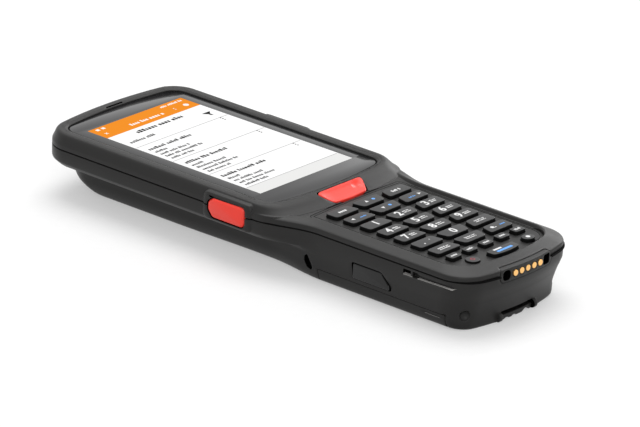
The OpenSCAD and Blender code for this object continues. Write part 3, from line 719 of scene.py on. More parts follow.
FAR_X, FAR_Y, FAR_Z = 60, 130, 40  # past the body on every side
PANEL_THICK = 1.3
PANEL_LEDGE = 1.8  # the shell reaches this far under the panel's edge
SCREEN_ROOM = Vector((0.85, 1.25, 40))  # room round the display module
BUTTONS = ((-1, "left_scan_button"), (1, "volume_rocker"))
BUTTON_GAP = 0.19
SCAN_KEY_GAP = 0.42
COLLAR_LOW, COLLAR_HIGH = 14, CREST - 0.75
COLLAR_RADIUS = 2.2
RECEIVER_SLOT = (9, 0.5)
NOTCH_BACK = TAIL_END + 5.15  # the seat of the contact block ends here
SLOPE = (  # (y, height) of the slope in front of the glass
    (SLOPE_FOOT, PANEL_Z), (SLOPE_FOOT + 0.9, PANEL_Z + 0.4), (SLOPE_FOOT + 3.5, PANEL_Z + 1.35),
    (SLOPE_FOOT + 6, CREST - 0.8), (SLOPE_FOOT + 8.2, CREST - 0.12), (SLOPE_FOOT + 9.2, CREST))


def slab(low, high):
    """Block between two heights that reaches past the body."""
    return box((-FAR_X, -FAR_Y, low), (FAR_X, FAR_Y, high))


def head_form():
    """The display head: up the outside, over the rim and down the slope to the keypad."""
    # [side inset, scanning end inset, slope shift, height on the sides, height on the slope]
    stations = [
        (0, 0, 0, PARTING - 1, PARTING - 1), (0.01, 0.01, 0, PARTING, PARTING),
        (0.02, 0.02, 0, 21.2, 21.4), (0.12, 0.12, 0, 22.1, PANEL_Z),
        (0.7, 0.8, 0.9, 23.6, PANEL_Z + 0.4), (1.4, 1.2, 3.5, CREST - 1, PANEL_Z + 1.35),
        (2.15, 1.7, 6, CREST - 0.32, CREST - 0.8), (3, 2.2, 8.2, CREST - 0.04, CREST - 0.12),
        (3.9, 2.9, 9.2, CREST, CREST), (4.6, 3.5, 9.6, CREST, CREST)]
    slope_start, slope_run = WAIST_START + 3, 8  # the slope's heights take over along here
    rings = []
    for side, top, low, z_side, z_slope in flow(stations, sizes().skin_steps):
        points = head_outline(HEAD_X - side, HEAD_END - top, SLOPE_FOOT + low)
        rings.append([(x, y, min(CREST, z_side + (z_slope - z_side)
                                 * ease((slope_start - y) / slope_run))) for x, y in points])
    return loft(rings)


def tail_form():
    """The keypad tail with its sloping bezel and the lip that falls to the panel."""
    # [side inset, end inset, height]
    stations = [
        (0, 0, PARTING - 1.5), (0.01, 0.01, PARTING), (0.02, 0.02, 21.1), (0.12, 0.15, 21.75),
        (0.6, 0.8, 22.2), (2.2, 3.3, 22.93), (3.9, 5.9, 23.68), (4.35, 6.5, 23.86),
        (4.6, 6.8, 23.86), (4.95, 7.15, 23.65), (5.3, 7.45, 23.2), (5.65, 7.84, PANEL_Z)]
    rings = []
    for side, end, z in flow(stations, sizes().skin_steps):
        points = outline((HEAD_X - 0.35 - side, WAIST_START + 6 - side / 4, 1.8, 0.1),
                         (TAIL_X - side, TAIL_END + end, CORNER - side * 0.6, TAIL_BOW))
        rings.append(level(points, min(z, PANEL_Z), z))
    return loft(rings)


def glass_pocket():
    """Seat of the cover glass with the bevel that leads down to it."""
    # [growth round the glass, height over the crest]
    bevel = ((0.32, GLASS_Z - GLASS_THICK - CREST), (0.32, -0.62), (0.4, -0.52), (0.55, -0.42),
             (0.85, -0.27), (1.2, -0.12), (1.5, -0.01), (1.8, 0.4))
    return stack(glass_outline, [(grow, CREST + z) for grow, z in bevel])


def head_hollow():
    """Room inside the display head."""
    half = HEAD_X - WALL
    points = outline((half, HEAD_END - WALL, 10.5, HEAD_BOW), (half, GLASS_LOW.y + 1.5, 9, 2),
                     EVEN)
    return column(points, PARTING - 5, GLASS_Z - GLASS_THICK - 1)


def display_bay():
    """Opening for the display module."""
    return box(SCREEN_LOW - SCREEN_ROOM, SCREEN_HIGH + SCREEN_ROOM)


def collar(side, button):
    """Raised ridge round a side button."""
    # [step out of the side, growth round the button, drop below the ridge's top]
    steps = ((-2, 3, 0), (-0.6, 3, 0), (0.2, 2.7, 0.3), (0.75, 2.0, 0.9), (0.95, 1.2, 1.7))
    low, high = corners(button)
    y, half = (low.y + high.y) / 2, (high.y - low.y) / 2
    middle = (COLLAR_LOW + COLLAR_HIGH) / 2
    turns = [math.pi / 12 * k for k in range(6, -1, -1)]
    loops = []
    for out, grow, drop in steps:
        reach = half + grow - COLLAR_RADIUS
        rise = COLLAR_HIGH - middle - drop - COLLAR_RADIUS
        arc = [(reach + COLLAR_RADIUS * math.cos(t), rise + COLLAR_RADIUS * math.sin(t))
               for t in turns]
        side_loop = arc + [(a, -b) for a, b in reversed(arc)]
        loop = side_loop + [(-a, b) for a, b in reversed(side_loop)]
        loops.append([(side * (HEAD_X + out), y + a, middle + b) for a, b in loop])
    return loft(loops)


def ridges():
    """The collars of both side buttons."""
    return [collar(side, button) for side, button in BUTTONS]


def button_plan(button, grow):
    """Plan of a side button, (y, z), with long slants at its scanning end."""
    low, high = corners(button)
    y0, y1 = low.y - grow, high.y + grow
    z0, z1 = low.z - grow, high.z + grow
    return [(y0, z0 + 1.3), (y0, z1 - 1.2), (y0 + 1.3, z1), (y1 - 2.9, z1), (y1, z1 - 2.4),
            (y1, z0 + 3), (y1 - 2.4, z0), (y0 + 1.3, z0)]


def button_openings():
    """Openings of both side buttons."""
    return [dark(side_prism(button_plan(button, BUTTON_GAP), side, HEAD_X - 4.87, HEAD_X + 6,
                            0.83, 3)) for side, button in BUTTONS]


def scan_key_plan(grow):
    """Plan of the scan key on the slope, which narrows towards the keypad."""
    low, high = corners("front_scan_key")
    half = high.x + grow
    top, foot = high.y + grow, low.y - grow
    return [(-half, top), (half, top), (half - 0.8, top - 2.6), (half - 3.6, foot + 0.5),
            (0, foot), (-half + 3.6, foot + 0.5), (-half + 0.8, top - 2.6)]


def contact_notch(grow, deep):
    """Seat of the contact block in the charging end."""
    low, high = corners("contact_block")
    plan = rectangle(0, (low.z + high.z) / 2, high.x - low.x + 2 * grow,
                     high.z - low.z + 2 * grow)
    return prism(plan, TAIL_END - 2, deep, "Y", 2 + grow, 6)


def round_key_rooms():
    """Room in the shell under the round keys."""
    made = []
    for name in ("key_settings", "key_power"):
        x, y, half_x, _, _ = key_frame(name)
        made.append(rod((x, y, PANEL_Z - 3), half_x * ROUND_KEY_STRETCH + 0.45, 3.46,
                        segments=40))
    return made


def build_front_shell():
    """Front housing: head, tail and collars, with the seats of what they carry."""
    shell = as_object("front_shell", head_form())
    combine(shell, [tail_form(), *ridges()], "UNION")
    cut(shell, slab(0, PARTING), head_hollow(), display_bay(), glass_pocket(),
        column(panel_outline(FIT), PANEL_Z - PANEL_THICK, FAR_Z),
        column(panel_outline(-PANEL_LEDGE), PARTING - 5, FAR_Z))
    key_pocket = prism(scan_key_plan(SCAN_KEY_GAP), PARTING + 0.8, FAR_Z, radius=1.9, segments=6)
    slot = prism(rectangle(0.5, GLASS_HIGH.y + 1.1, *RECEIVER_SLOT), GLASS_Z - 1.5, FAR_Z,
                 radius=0.24)
    # The scan key's pocket, the receiver slot and the button openings take the painted shade.
    cut(shell, dark(key_pocket), dark(slot), contact_notch(FIT, NOTCH_BACK),
        *button_openings(), *round_key_rooms())
    soften(shell, sizes().edge_round)
    for vert in shell.data.vertices:
        vert.co.z = min(vert.co.z, CREST)
    place(shell, STATIC, [shell_finish(), painted_shade_finish()], ["front_housing"])


BAY_TOP = 15.2  # ceiling of the battery bay
BAY_HALF = 40  # its walls run out past the sides
BAY_ROOF = 1.2
FOOT_GAP = 0.03  # the lowest faces stand this far off the floor
STRAP_LOW, STRAP_HIGH = corners("strap_bar")
BAR_HALF = 9.0
BAR_FOOT, BAR_TOP = 0.15, 2.3
BAR_SCALLOPS = ((-5.2, -0.6, 1.5), (-1.2, -0.6, 1.5), (5.6, -1.0, 2.4))  # (x, z, radius)
COVE_TOP = 4.1
COVE_DEPTH = 4.5
COVE_SHELL = (11.3, 7.6)  # half width and height of the block that the cove is cut in
LUG_RADIUS = 1.75
DIMPLE = (26, 6.9, 5.9, 2.4)  # from the middle, from the end, height and radius
DOOR_GAP = 0.14
DOOR_TOP = 5.5
HINGE_Y, HINGE_Z = DOOR_LOW.y + 0.9, 1.1
LATCH_GAP = 0.4
RAIL_LOW, RAIL_HIGH = REAR_TOP - 2.6, REAR_TOP - 1.3
RAIL_START, RAIL_END = TAIL_END + 8.7, TAIL_END + 25.2
SOCKET_Y = WAIST_END + 5.7
SCREW_RADIUS, SCREW_ROOM = 1.95, 8
TAIL_SCREWS = [(side * 27.2, y) for side in (-1, 1) for y in (-84, -36)]
HEAD_SCREWS = [(x, y) for x in (-33, 33) for y in (24, 88)]
HEAD_SCREW_Z = 11
SPEAKER_Y, SPEAKER_PITCH = 62, 2.2


def rear_ring(station):
    """Loop of a station: the head's (half width, end, radius), the tail's, their heights and
    the share of the arch."""
    head_x, head_y, head_r, tail_x, tail_y, tail_r, head_z, tail_z, lift = station
    points = outline((head_x, head_y, head_r, HEAD_BOW), (tail_x, tail_y, tail_r, TAIL_BOW))
    return level(points, head_z, tail_z, lift)


def rear_skin():
    """Outside of the rear housing: the rounded belly, then the walls up to the seal."""
    hx, hy, tx, ty = HEAD_X, HEAD_END, TAIL_X, TAIL_END
    belly = [
        (hx - 14.2, hy - 16.2, 8, tx - 5.4, ty + 4.4, 6.5, 0, 0, 1),
        (hx - 12.2, hy - 11.5, 9, tx - 3.5, ty + 4, 7.5, 1.3, 0.9, 0.97),
        (hx - 10.2, hy - 6.6, 10, tx - 2.3, ty + 3.7, 9.5, 4.8, 3.4, 0.8),
        (hx - 9, hy - 4.2, 11, tx - 1.5, ty + 2.9, 12, 9, 6.9, 0.35),
        (hx - 8, hy - 3.2, 11.5, tx - 0.8, ty + 1.6, 13, 12, 11, 0)]
    walls = [
        (hx - 7.4, hy - 3.0, 11.6, tx - 0.7, ty + 1.5, 13, 12.35, 11.5, 0),
        (hx - 1.9, hy - 1.9, 12, tx - 0.3, ty + 0.7, 13, 12.95, 13.6, 0),
        (hx - 0.25, hy - 0.25, 12.5, tx - 0.02, ty + 0.12, 12.5, 14.75, 15.8, 0),
        (hx - 0.05, hy - 0.05, 12.5, tx, ty + 0.05, 12.5, 15.6, 16.8, 0)]
    rings = [rear_ring(s) for s in flow(belly, sizes().skin_steps)]
    rings += [rear_ring(s) for s in walls]
    rings += [level(body_outline(), z) for z in (REAR_TOP, REAR_TOP + 1)]
    return loft(rings)


def rear_hollow():
    """Room inside the rear housing, open at its top."""
    hx, tx = HEAD_X - WALL, TAIL_X - WALL
    hy, ty = HEAD_END, TAIL_END
    return loft([rear_ring(s) for s in (
        (hx - 14, hy - 24, 8, tx - 6, ty + 11, 8, WALL, WALL, 1),
        (hx - 9.6, hy - 15, 9, tx - 2, ty + 7, 11, 5.4, 5, 0.75),
        (hx - 7.8, hy - 11.5, 9, tx - 0.9, ty + 4.8, 11, 11, 10, 0.2),
        (hx - 7, hy - 10.6, 9.5, tx - 0.4, ty + 3.8, 11, 14.2, 13, 0),
        (hx - 0.6, hy - WALL - 0.8, 10, tx, ty + WALL, 10.5, 15, 16, 0),
        (hx, hy - WALL, 10.5, tx, ty + WALL, 10.5, 30, 30, 0))])


def rear_inside():
    """Walls that stand inside the hollow: the battery bay and the shell of the strap cove."""
    y0, y1 = DOOR_LOW.y, DOOR_HIGH.y
    wall_top = BAY_TOP + BAY_ROOF - 0.1
    cove_half, cove_top = COVE_SHELL
    return [box((-BAY_HALF, y0 - 1.5, BAY_TOP), (BAY_HALF, y1 + 4, BAY_TOP + BAY_ROOF)),
            box((-BAY_HALF, y1 + 2.2, -1), (BAY_HALF, y1 + 4, wall_top)),
            box((-BAY_HALF, y0 - 1.6, -1), (BAY_HALF, y0 - 0.1, wall_top)),
            box((-cove_half, TAIL_END - 1, -1), (cove_half, y0 - 0.9, cove_top))]


def latch_plan(grow):
    """Plan of a door latch on the side wall, (y, z)."""
    low, high = corners("door_latch_left")
    return [(high.y + grow, low.z - grow), (high.y + grow, high.z + grow),
            (low.y + 4.2 - grow, high.z + grow), (low.y - grow, low.z + 1.6),
            (low.y - grow, low.z - grow)]


def door_block(grow):
    """Block that holds the battery door and a gap round it."""
    return box((-FAR_X, DOOR_LOW.y - grow, -5), (FAR_X, DOOR_HIGH.y + grow, DOOR_TOP + grow))


def rail_tools(side):
    """Cradle rail with its two windows, and the slanted socket behind the waist. The lower ledges
    of the groove and of the second window carry a painted highlight, the rest of that window and
    the socket a painted shade.
    """
    groove = side_prism([(RAIL_START, RAIL_LOW + 0.25), (RAIL_END + 1, RAIL_LOW - 0.15),
                         (RAIL_END + 1, RAIL_HIGH), (RAIL_START, RAIL_HIGH)],
                        side, TAIL_X - 0.9, TAIL_X + 6, 0.3)
    windows = []
    for y0, y1 in ((RAIL_END, RAIL_END + 2.6), (RAIL_END + 3.5, TAIL_END + 32.2)):
        plan = [(y0, RAIL_LOW - 0.15), (y1, RAIL_LOW - 0.2), (y1, RAIL_HIGH + 0.5),
                (y0, RAIL_HIGH + 0.5)]
        windows.append(side_prism(plan, side, TAIL_X - 1.5, TAIL_X + 6, 0.3))
    # Lower ledge: painted highlight; other walls: painted shade.
    paint(windows[1], PAINTED_HIGHLIGHT, looks_down, PAINTED_SHADE)
    y = SOCKET_Y
    slanted = [(y + 1.9, 9.2), (y + 0.5, 10.4), (y - 1.5, 5.6), (y - 0.9, 4.1), (y + 1.2, 4.8),
               (y + 2.3, 7.2)]
    socket = side_prism(slanted, side, TAIL_X - 3.2, TAIL_X + 6, 0.5)
    return [paint(groove, PAINTED_HIGHLIGHT, looks_down), *windows, dark(socket)]


def rail_lips():
    """Fine lips under the cradle rails, whose top faces carry a painted highlight."""
    y0, y1 = TAIL_END + 9, TAIL_END + 32
    plan = [(y0, RAIL_LOW - 0.2), (y1, RAIL_LOW - 0.65), (y1, RAIL_LOW - 0.22),
            (y0, RAIL_LOW + 0.22)]
    return [paint(side_prism(plan, side, TAIL_X - 1.5, TAIL_X + 0.3), PAINTED_HIGHLIGHT, looks_up)
            for side in (-1, 1)]


def cove_tools():
    """Cove behind the strap bar, open to the end and to the floor, with its walls in painted shade,
    and the dimples by it.
    """
    front, back = TAIL_END - 2, STRAP_HIGH.y + COVE_DEPTH
    plan = [(front, -5), (back, -5), (back, COVE_TOP), (front, COVE_TOP)]
    tools = [dark(prism(plan, -BAR_HALF, BAR_HALF, "X"))]
    x, y, z, radius = DIMPLE
    for side in (-1, 1):
        dimple = bmesh.new()
        bmesh.ops.create_uvsphere(
            dimple, u_segments=24, v_segments=14, radius=radius,
            matrix=Matrix.Translation((side * x, TAIL_END + y, z)))
        tools.append(dimple)
    return tools


def strap_lugs():
    """Round lugs that hold the ends of the strap bar."""
    return [rod((side * (BAR_HALF + 0.7), STRAP_LOW.y + 0.6, 1.95), LUG_RADIUS, 2.0, "X")
            for side in (-1, 1)]


def screw_seats():
    """Seats of the housing screws."""
    tail_z = corners("housing_screws")[0].z
    spots = [(x, y, tail_z) for x, y in TAIL_SCREWS]
    spots += [(x, y, HEAD_SCREW_Z) for x, y in HEAD_SCREWS]
    return [rod(spot, SCREW_RADIUS, SCREW_ROOM, segments=24) for spot in spots]


def lift_foot(piece):
    """Keeps the lowest faces just clear of the floor."""
    for vert in piece.data.vertices:
        vert.co.z = max(vert.co.z, FOOT_GAP)


def rear_openings():
    """Everything that is cut out of the rear shell."""
    tools = [door_block(DOOR_GAP), rod((0, HINGE_Y, HINGE_Z), 1.6, 90, "X")]
    for side in (-1, 1):
        # Latch openings take the painted shade, which draws the dark gap round each latch.
        tools.append(dark(side_prism(latch_plan(LATCH_GAP), side, TAIL_X - 6, TAIL_X + 6, 1)))
        tools += rail_tools(side)
    tools += [*button_openings(), contact_notch(FIT, NOTCH_BACK), *cove_tools()]
    low, high = corners("scan_window")
    window = rectangle(0, (low.z + high.z) / 2, high.x * 2 + 0.3, high.z - low.z + 0.3)
    tools.append(prism(window, low.y - 1.7, HEAD_END + 3, "Y", 0.6))
    tools += screw_seats()
    for i in range(-3, 4):
        slot = rectangle(0, SPEAKER_Y + i * SPEAKER_PITCH, 11.2, 1.2)
        # Speaker slots take the painted shade.
        tools.append(dark(prism(slot, -1, 5, radius=0.55)))
    return tools


def build_rear_shell():
    """Rear housing: a shell with the battery bay, the rails, the cove and its openings."""
    shell = as_object("rear_shell", rear_skin())
    room = as_object("room", rear_hollow())
    cut(room, *rear_inside())
    cut(shell, as_mesh(room))
    combine(shell, [*ridges(), *strap_lugs(), *rail_lips()], "UNION")
    cut(shell, slab(REAR_TOP, 60))
    cut(shell, *rear_openings())
    soften(shell, sizes().edge_round)
    lift_foot(shell)
    place(shell, STATIC, [shell_finish(), painted_shade_finish(), painted_highlight_finish()],
          ["rear_housing"])


def build_strap_bar():
    """Bar that carries on the end wall's form below the cove, with a scalloped underside and a
    near-black plate behind it that paints the shade under the bar."""
    back = STRAP_HIGH.y
    bridge = as_object("strap_bridge", rear_skin())
    combine(bridge, [box((-BAR_HALF, TAIL_END - 2, BAR_FOOT), (BAR_HALF, back, BAR_TOP))],
            "INTERSECT")
    cut(bridge, *[rod((x, STRAP_LOW.y, z), radius, 12, "Y") for x, z, radius in BAR_SCALLOPS])
    soften(bridge, 0.25, segments=3)
    # Near-black plate: painted shade under the bar.
    join(bridge, box((-BAR_HALF + 0.1, back - 0.3, BAR_FOOT),
                     (BAR_HALF - 0.1, back + 2.9, BAR_FOOT + 0.4)), PAINTED_SHADE)
    place(bridge, STATIC, [shell_finish(), painted_shade_finish()], ["strap_bar"])


# ---------------------------------------------------------------- glass and screen

PAPER, HEADER, INK, GREY_INK, WHITE_INK, FOOT, RULE = range(7)
LIT_X = (SCREEN_LOW.x + SCREEN_BORDER, SCREEN_HIGH.x - SCREEN_BORDER)
LIT_Y = (SCREEN_LOW.y + SCREEN_BORDER, SCREEN_HIGH.y - SCREEN_BORDER)
LIT_MIDDLE = (sum(LIT_X) / 2, sum(LIT_Y) / 2)
PAGE_Z = GLASS_Z - 0.02
PAGE_STEP = 0.012  # each layer of marks stands this far over the one below
HEADER_HEIGHT = 10.2
FOOT_HEIGHT = 7.1
# Places on the page: x from the middle line, y from the middle of the lit area
STATUS_Y = 41.6
CLOSE_MARK, COG_MARK, FUNNEL = (-22.6, 37), (22, 37), (21.3, 24.6)
RULES_Y = (19, 0.3, -17.9, -36.3)
RECORDS_Y = (14.6, -3.9, -22.2)
RECORD_X, RECORD_DOTS_X = -23.6, 21.3
RECORD_ROWS = (7, 16, 20, 13)  # lengths of the rows under a record's heading


def build_glass():
    """Cover glass as a border round the lit area, with a black seal ring in the gap round it that
    also paints the gap's shade.
    """
    foot = GLASS_Z - GLASS_THICK
    glass = as_object("cover_glass", stack(glass_outline, (
        (-0.15, foot), (0, foot + 0.15), (0, GLASS_Z - 0.14), (-0.05, GLASS_Z - 0.04),
        (-0.16, GLASS_Z))))
    # The ring stands for the black glue bead and paints the shade in the gap round the glass.
    edge_seal_and_shade = stack(glass_outline, (
        (-0.3, GLASS_Z - 0.3), (-0.3, GLASS_Z + 0.02), (0.28, GLASS_Z + 0.02),
        (0.28, GLASS_Z - 0.3)), closed=True)
    cut(glass, box((LIT_X[0], LIT_Y[0], GLASS_Z - 0.5), (LIT_X[1], LIT_Y[1], GLASS_Z + 2)))
    join(glass, edge_seal_and_shade, 1)
    border = finish("Glass border", (0.012, 0.012, 0.013), 0.07, drift=0.04, spread=0.02,
                    depth=0.01, specular=0.6)
    place(glass, STATIC, [border, seal_and_gap_shade_finish()], ["touch_glass"], smooth=20)


def bar(mesh, x, y, width, height, z, thick, material):
    """A plain printed block about its middle."""
    add(mesh, box((x - width / 2, y - height / 2, z - 0.01),
                  (x + width / 2, y + height / 2, z + thick)), material)


def block_row(mesh, x, y, length, height, z, thick, material, seed):
    """A row of plain blocks of uneven widths and heights, with gaps between its groups."""
    order = random.Random(seed)
    at, end = x, x + length
    while at < end:
        for _ in range(order.randint(3, 8)):
            width = height * order.uniform(0.38, 0.62)
            if at + width > end:
                return
            tall = height * order.choice((0.72, 0.72, 1))
            bar(mesh, at + width / 2, y + (tall - height) / 2, width, tall, z, thick, material)
            at += width + height * 0.2
        at += height * 0.45


def crossed_bars(mesh, half_size, turns, spot, z):
    """Thin bars that cross at a spot, one for each turn in radians."""
    half_x, half_y = half_size
    for turn in turns:
        arm = box((-half_x, -half_y, z), (half_x, half_y, z + PAGE_STEP))
        bmesh.ops.rotate(arm, verts=arm.verts, cent=(0, 0, 0), matrix=Matrix.Rotation(turn, 3, "Z"))
        bmesh.ops.translate(arm, verts=arm.verts, vec=(*spot, 0))
        add(mesh, arm, WHITE_INK)


def screen_finishes():
    """Finishes of the page in the order of their numbers."""
    shades = [("Screen page", (0.97, 0.97, 0.97)), ("Screen header", tuple(colours().header)),
              ("Screen dark marks", (0.02, 0.02, 0.02)), ("Screen grey marks", (0.06, 0.06, 0.06)),
              ("Screen white marks", (0.95, 0.93, 0.9)), ("Screen foot", (0.8, 0.8, 0.79)),
              ("Screen rules", (0.42, 0.42, 0.42))]
    return [finish(name, tuple(c * 0.3 for c in shade), 0.12, drift=0.02, spread=0.02, depth=0.0,
                   coat=0.06, coat_rough=0.03, specular=0.0, glow=shade, glow_strength=0.72)
            for name, shade in shades]


def screen_header(mesh, cy, z):
    """Marks on the bar at the top of the page."""
    for x in (-22.6, -19.6):
        bar(mesh, x, cy + STATUS_Y, 1.6, 1.5, z, PAGE_STEP, WHITE_INK)
    block_row(mesh, 12.4, cy + STATUS_Y, 12, 1.3, z, PAGE_STEP, WHITE_INK, 3)
    block_row(mesh, -9.5, cy + 36.9, 18.5, 1.9, z, PAGE_STEP, WHITE_INK, 4)
    x, y = CLOSE_MARK
    crossed_bars(mesh, (0.18, 0.9), (0.8, -0.8), (x, cy + y), z)
    for i in range(2):
        bar(mesh, 15.5, cy + 36.4 + i * 1.1, 0.5, 0.5, z, PAGE_STEP, WHITE_INK)
    x, y = COG_MARK
    crossed_bars(mesh, (0.35, 1.2), [k * math.pi / 4 for k in range(4)], (x, cy + y), z)


def screen_record(mesh, i, y, z):
    """Heading, rows and dots of one record on the page."""
    block_row(mesh, RECORD_X, y, 24, 1.9, z, PAGE_STEP, INK, 10 + i)
    for k, length in enumerate(RECORD_ROWS):
        block_row(mesh, RECORD_X, y - 3.3 - k * 2.75, length, 1.5, z, PAGE_STEP, GREY_INK,
                 20 + 5 * i + k)
    for k in range(3):
        bar(mesh, RECORD_DOTS_X, y + 1.6 + k * 1.15, 0.62, 0.62, z, PAGE_STEP, GREY_INK)


def build_screen():
    """The page that the display shows: plain bars, dots and marks."""
    (x0, x1), (y0, y1), (cx, cy) = LIT_X, LIT_Y, LIT_MIDDLE
    z, top = PAGE_Z, PAGE_Z + PAGE_STEP
    mesh = box((x0 + 0.02, y0 + 0.02, z - 0.3), (x1 - 0.02, y1 - 0.02, z))
    bar(mesh, cx, y1 - HEADER_HEIGHT / 2 - 0.02, x1 - x0 - 0.06, HEADER_HEIGHT, z, PAGE_STEP,
        HEADER)
    bar(mesh, cx, y0 + 3.6, x1 - x0 - 0.06, FOOT_HEIGHT, z, PAGE_STEP, FOOT)
    screen_header(mesh, cy, top)
    block_row(mesh, -13.5, cy + 30, 27, 2.3, top, PAGE_STEP, INK, 5)
    block_row(mesh, -23.4, cy + 24.2, 14, 1.7, top, PAGE_STEP, GREY_INK, 6)
    funnel = prism([(-2.3, 1.6), (2.3, 1.6), (0.5, -0.3), (0.5, -2.2), (-0.5, -1.5),
                    (-0.5, -0.3)], top, top + PAGE_STEP)
    bmesh.ops.translate(funnel, verts=funnel.verts, vec=(FUNNEL[0], cy + FUNNEL[1], 0))
    add(mesh, funnel, INK)
    for y in RULES_Y:
        bar(mesh, cx, cy + y, x1 - x0 - 1, 0.32, top, PAGE_STEP, RULE)
    for i, y in enumerate(RECORDS_Y):
        screen_record(mesh, i, cy + y, top)
    place(as_object("display_page", mesh), STATIC, screen_finishes(), smooth=20)


# ---------------------------------------------------------------- keypad

WHITE, BLUE, RED, PAINTED_SIDE_SHADE = 1, 2, 3, 4  # numbers of a key's prints and of the painted shade on its sides
KEY_FLANGE = 0.55  # the CAD key's flange reaches this far outside its cap
KEY_FOOT = PANEL_Z - 1.4
KEY_GAP = 0.25  # gap between a key and the panel
KEY_SLANT = 0.65
OPENING_LOW, OPENING_HIGH = 15, 30  # the panel's openings run between these heights
ROUND_KEY_STRETCH = 1.1  # the settings key is wider than its CAD cap
GROOVE_EDGES, GROOVE_DEPTH = (-1.1, -1.42), 0.3
DIGIT_SIZE, DIGIT_BOLD = 5.1, 0.13
KEY_CELLS = {  # column of each main key and what is printed on it
    "key_escape": (-1, "mark"), "key_up": (0, 90), "key_enter": (1, "mark"),
    "key_left": (-1, 180), "key_down": (0, 270), "key_right": (1, 0),
    "key_1": (-1, "1"), "key_2": (0, "2"), "key_3": (1, "3"),
    "key_4": (-1, "4"), "key_5": (0, "5"), "key_6": (1, "6"),
    "key_7": (-1, "7"), "key_8": (0, "8"), "key_9": (1, "9"),
    "key_point": (-1, "dot"), "key_0": (0, "0"), "key_symbol": (1, "rows"),
    "key_input": (-1, "rows"), "key_clear": (0, "rows"), "key_tools": (1, "tools")}
SMALL_KEYS = ("key_f1", "key_f2", "key_f3", "key_f4", "key_f5")


def digit(mesh, text, x, y, z, rise):
    """A printed digit, turned from a curve into a mesh."""
    curve = bpy.data.curves.new("digit", "FONT")
    curve.body = text
    curve.size = DIGIT_SIZE
    curve.align_x = "CENTER"
    curve.align_y = "CENTER"
    curve.offset = DIGIT_BOLD
    curve.extrude = rise / 2
    holder = bpy.data.objects.new("digit", curve)
    bpy.context.scene.collection.objects.link(holder)
    graph = bpy.context.evaluated_depsgraph_get()
    data = bpy.data.meshes.new_from_object(holder.evaluated_get(graph))
    data.transform(Matrix.Translation((x, y, z + rise / 2)))
    flat = bmesh.new()
    flat.from_mesh(data)
    add(mesh, flat, WHITE)
    bpy.data.objects.remove(holder)
    bpy.data.curves.remove(curve)
    bpy.data.meshes.remove(data)


def arrow(mesh, x, y, z, turn, rise):
    """Small printed triangle that points along turn, in degrees from +X."""
    flat = bmesh.new()
    matrix = (Matrix.Translation((x, y, z + rise / 2))
              @ Matrix.Rotation(math.radians(turn), 4, "Z") @ Matrix.Diagonal((1, 0.85, 1, 1)))
    bmesh.ops.create_cone(flat, cap_ends=True, segments=3, radius1=1.05, radius2=1.05,
                          depth=rise, matrix=matrix @ Matrix.Rotation(-math.pi / 2, 4, "Z"))
    add(mesh, flat, WHITE)


def dot(mesh, x, y, z, radius, rise, segments, material=WHITE):
    """Small printed disc."""
    add(mesh, rod((x, y, z + rise / 2), radius, rise, segments=segments), material)


def small_rows(mesh, x, y, z, length, rise, seed):
    """Two short rows of small blocks on a key."""
    for i in range(2):
        block_row(mesh, x, y + 0.55 - i * 1.1, length, 0.72, z, rise, WHITE, seed + i)


def keycap(plan, radius, top, edge):
    """Keycap with round corners and a soft edge round its top."""
    mesh = prism(plan, KEY_FOOT, top, radius=radius, segments=5)
    # The sides take the painted key-side shade, darker than the top where the light falls off.
    paint(mesh, 0, looks_up, PAINTED_SIDE_SHADE)
    return round_rim(mesh, 2, top, edge, 4)


def key_frame(name):
    """Middle, half width, half length and top of a keycap."""
    low, high = corners(name)
    half_x = (high.x - low.x) / 2 - KEY_FLANGE
    half_y = (high.y - low.y) / 2 - KEY_FLANGE
    return (low.x + high.x) / 2, (low.y + high.y) / 2, half_x, half_y, high.z


def main_plan(column_number, x, y, hx, hy):
    """Plan of a main key: the middle column narrows on both sides, the outer ones on one."""
    if column_number == 0:
        return [(x - hx, y + hy), (x - hx + 2 * KEY_SLANT, y - hy),
                (x + hx - 2 * KEY_SLANT, y - hy), (x + hx, y + hy)]
    inner = -column_number
    return [(x + column_number * hx, y + hy), (x + column_number * (hx - 0.2), y - hy),
            (x + inner * hx, y - hy), (x + inner * (hx - 2 * KEY_SLANT), y + hy)]


def function_plan(x, y, hx, hy, gap=0.0):
    """Plan of the function key, whose near side is bowed. With a gap it is the opening's."""
    side, corner, shoulder = (hx - 0.4, 1.0, 0.25) if gap == 0 else (hx - 0.1, 0.8, 0)
    return [(x - hx - gap, y + hy + gap), (x - side, y - hy + corner),
            (x - hx * 0.5, y - hy + shoulder), (x, y - hy - gap),
            (x + hx * 0.5, y - hy + shoulder), (x + side, y - hy + corner),
            (x + hx + gap, y + hy + gap)]


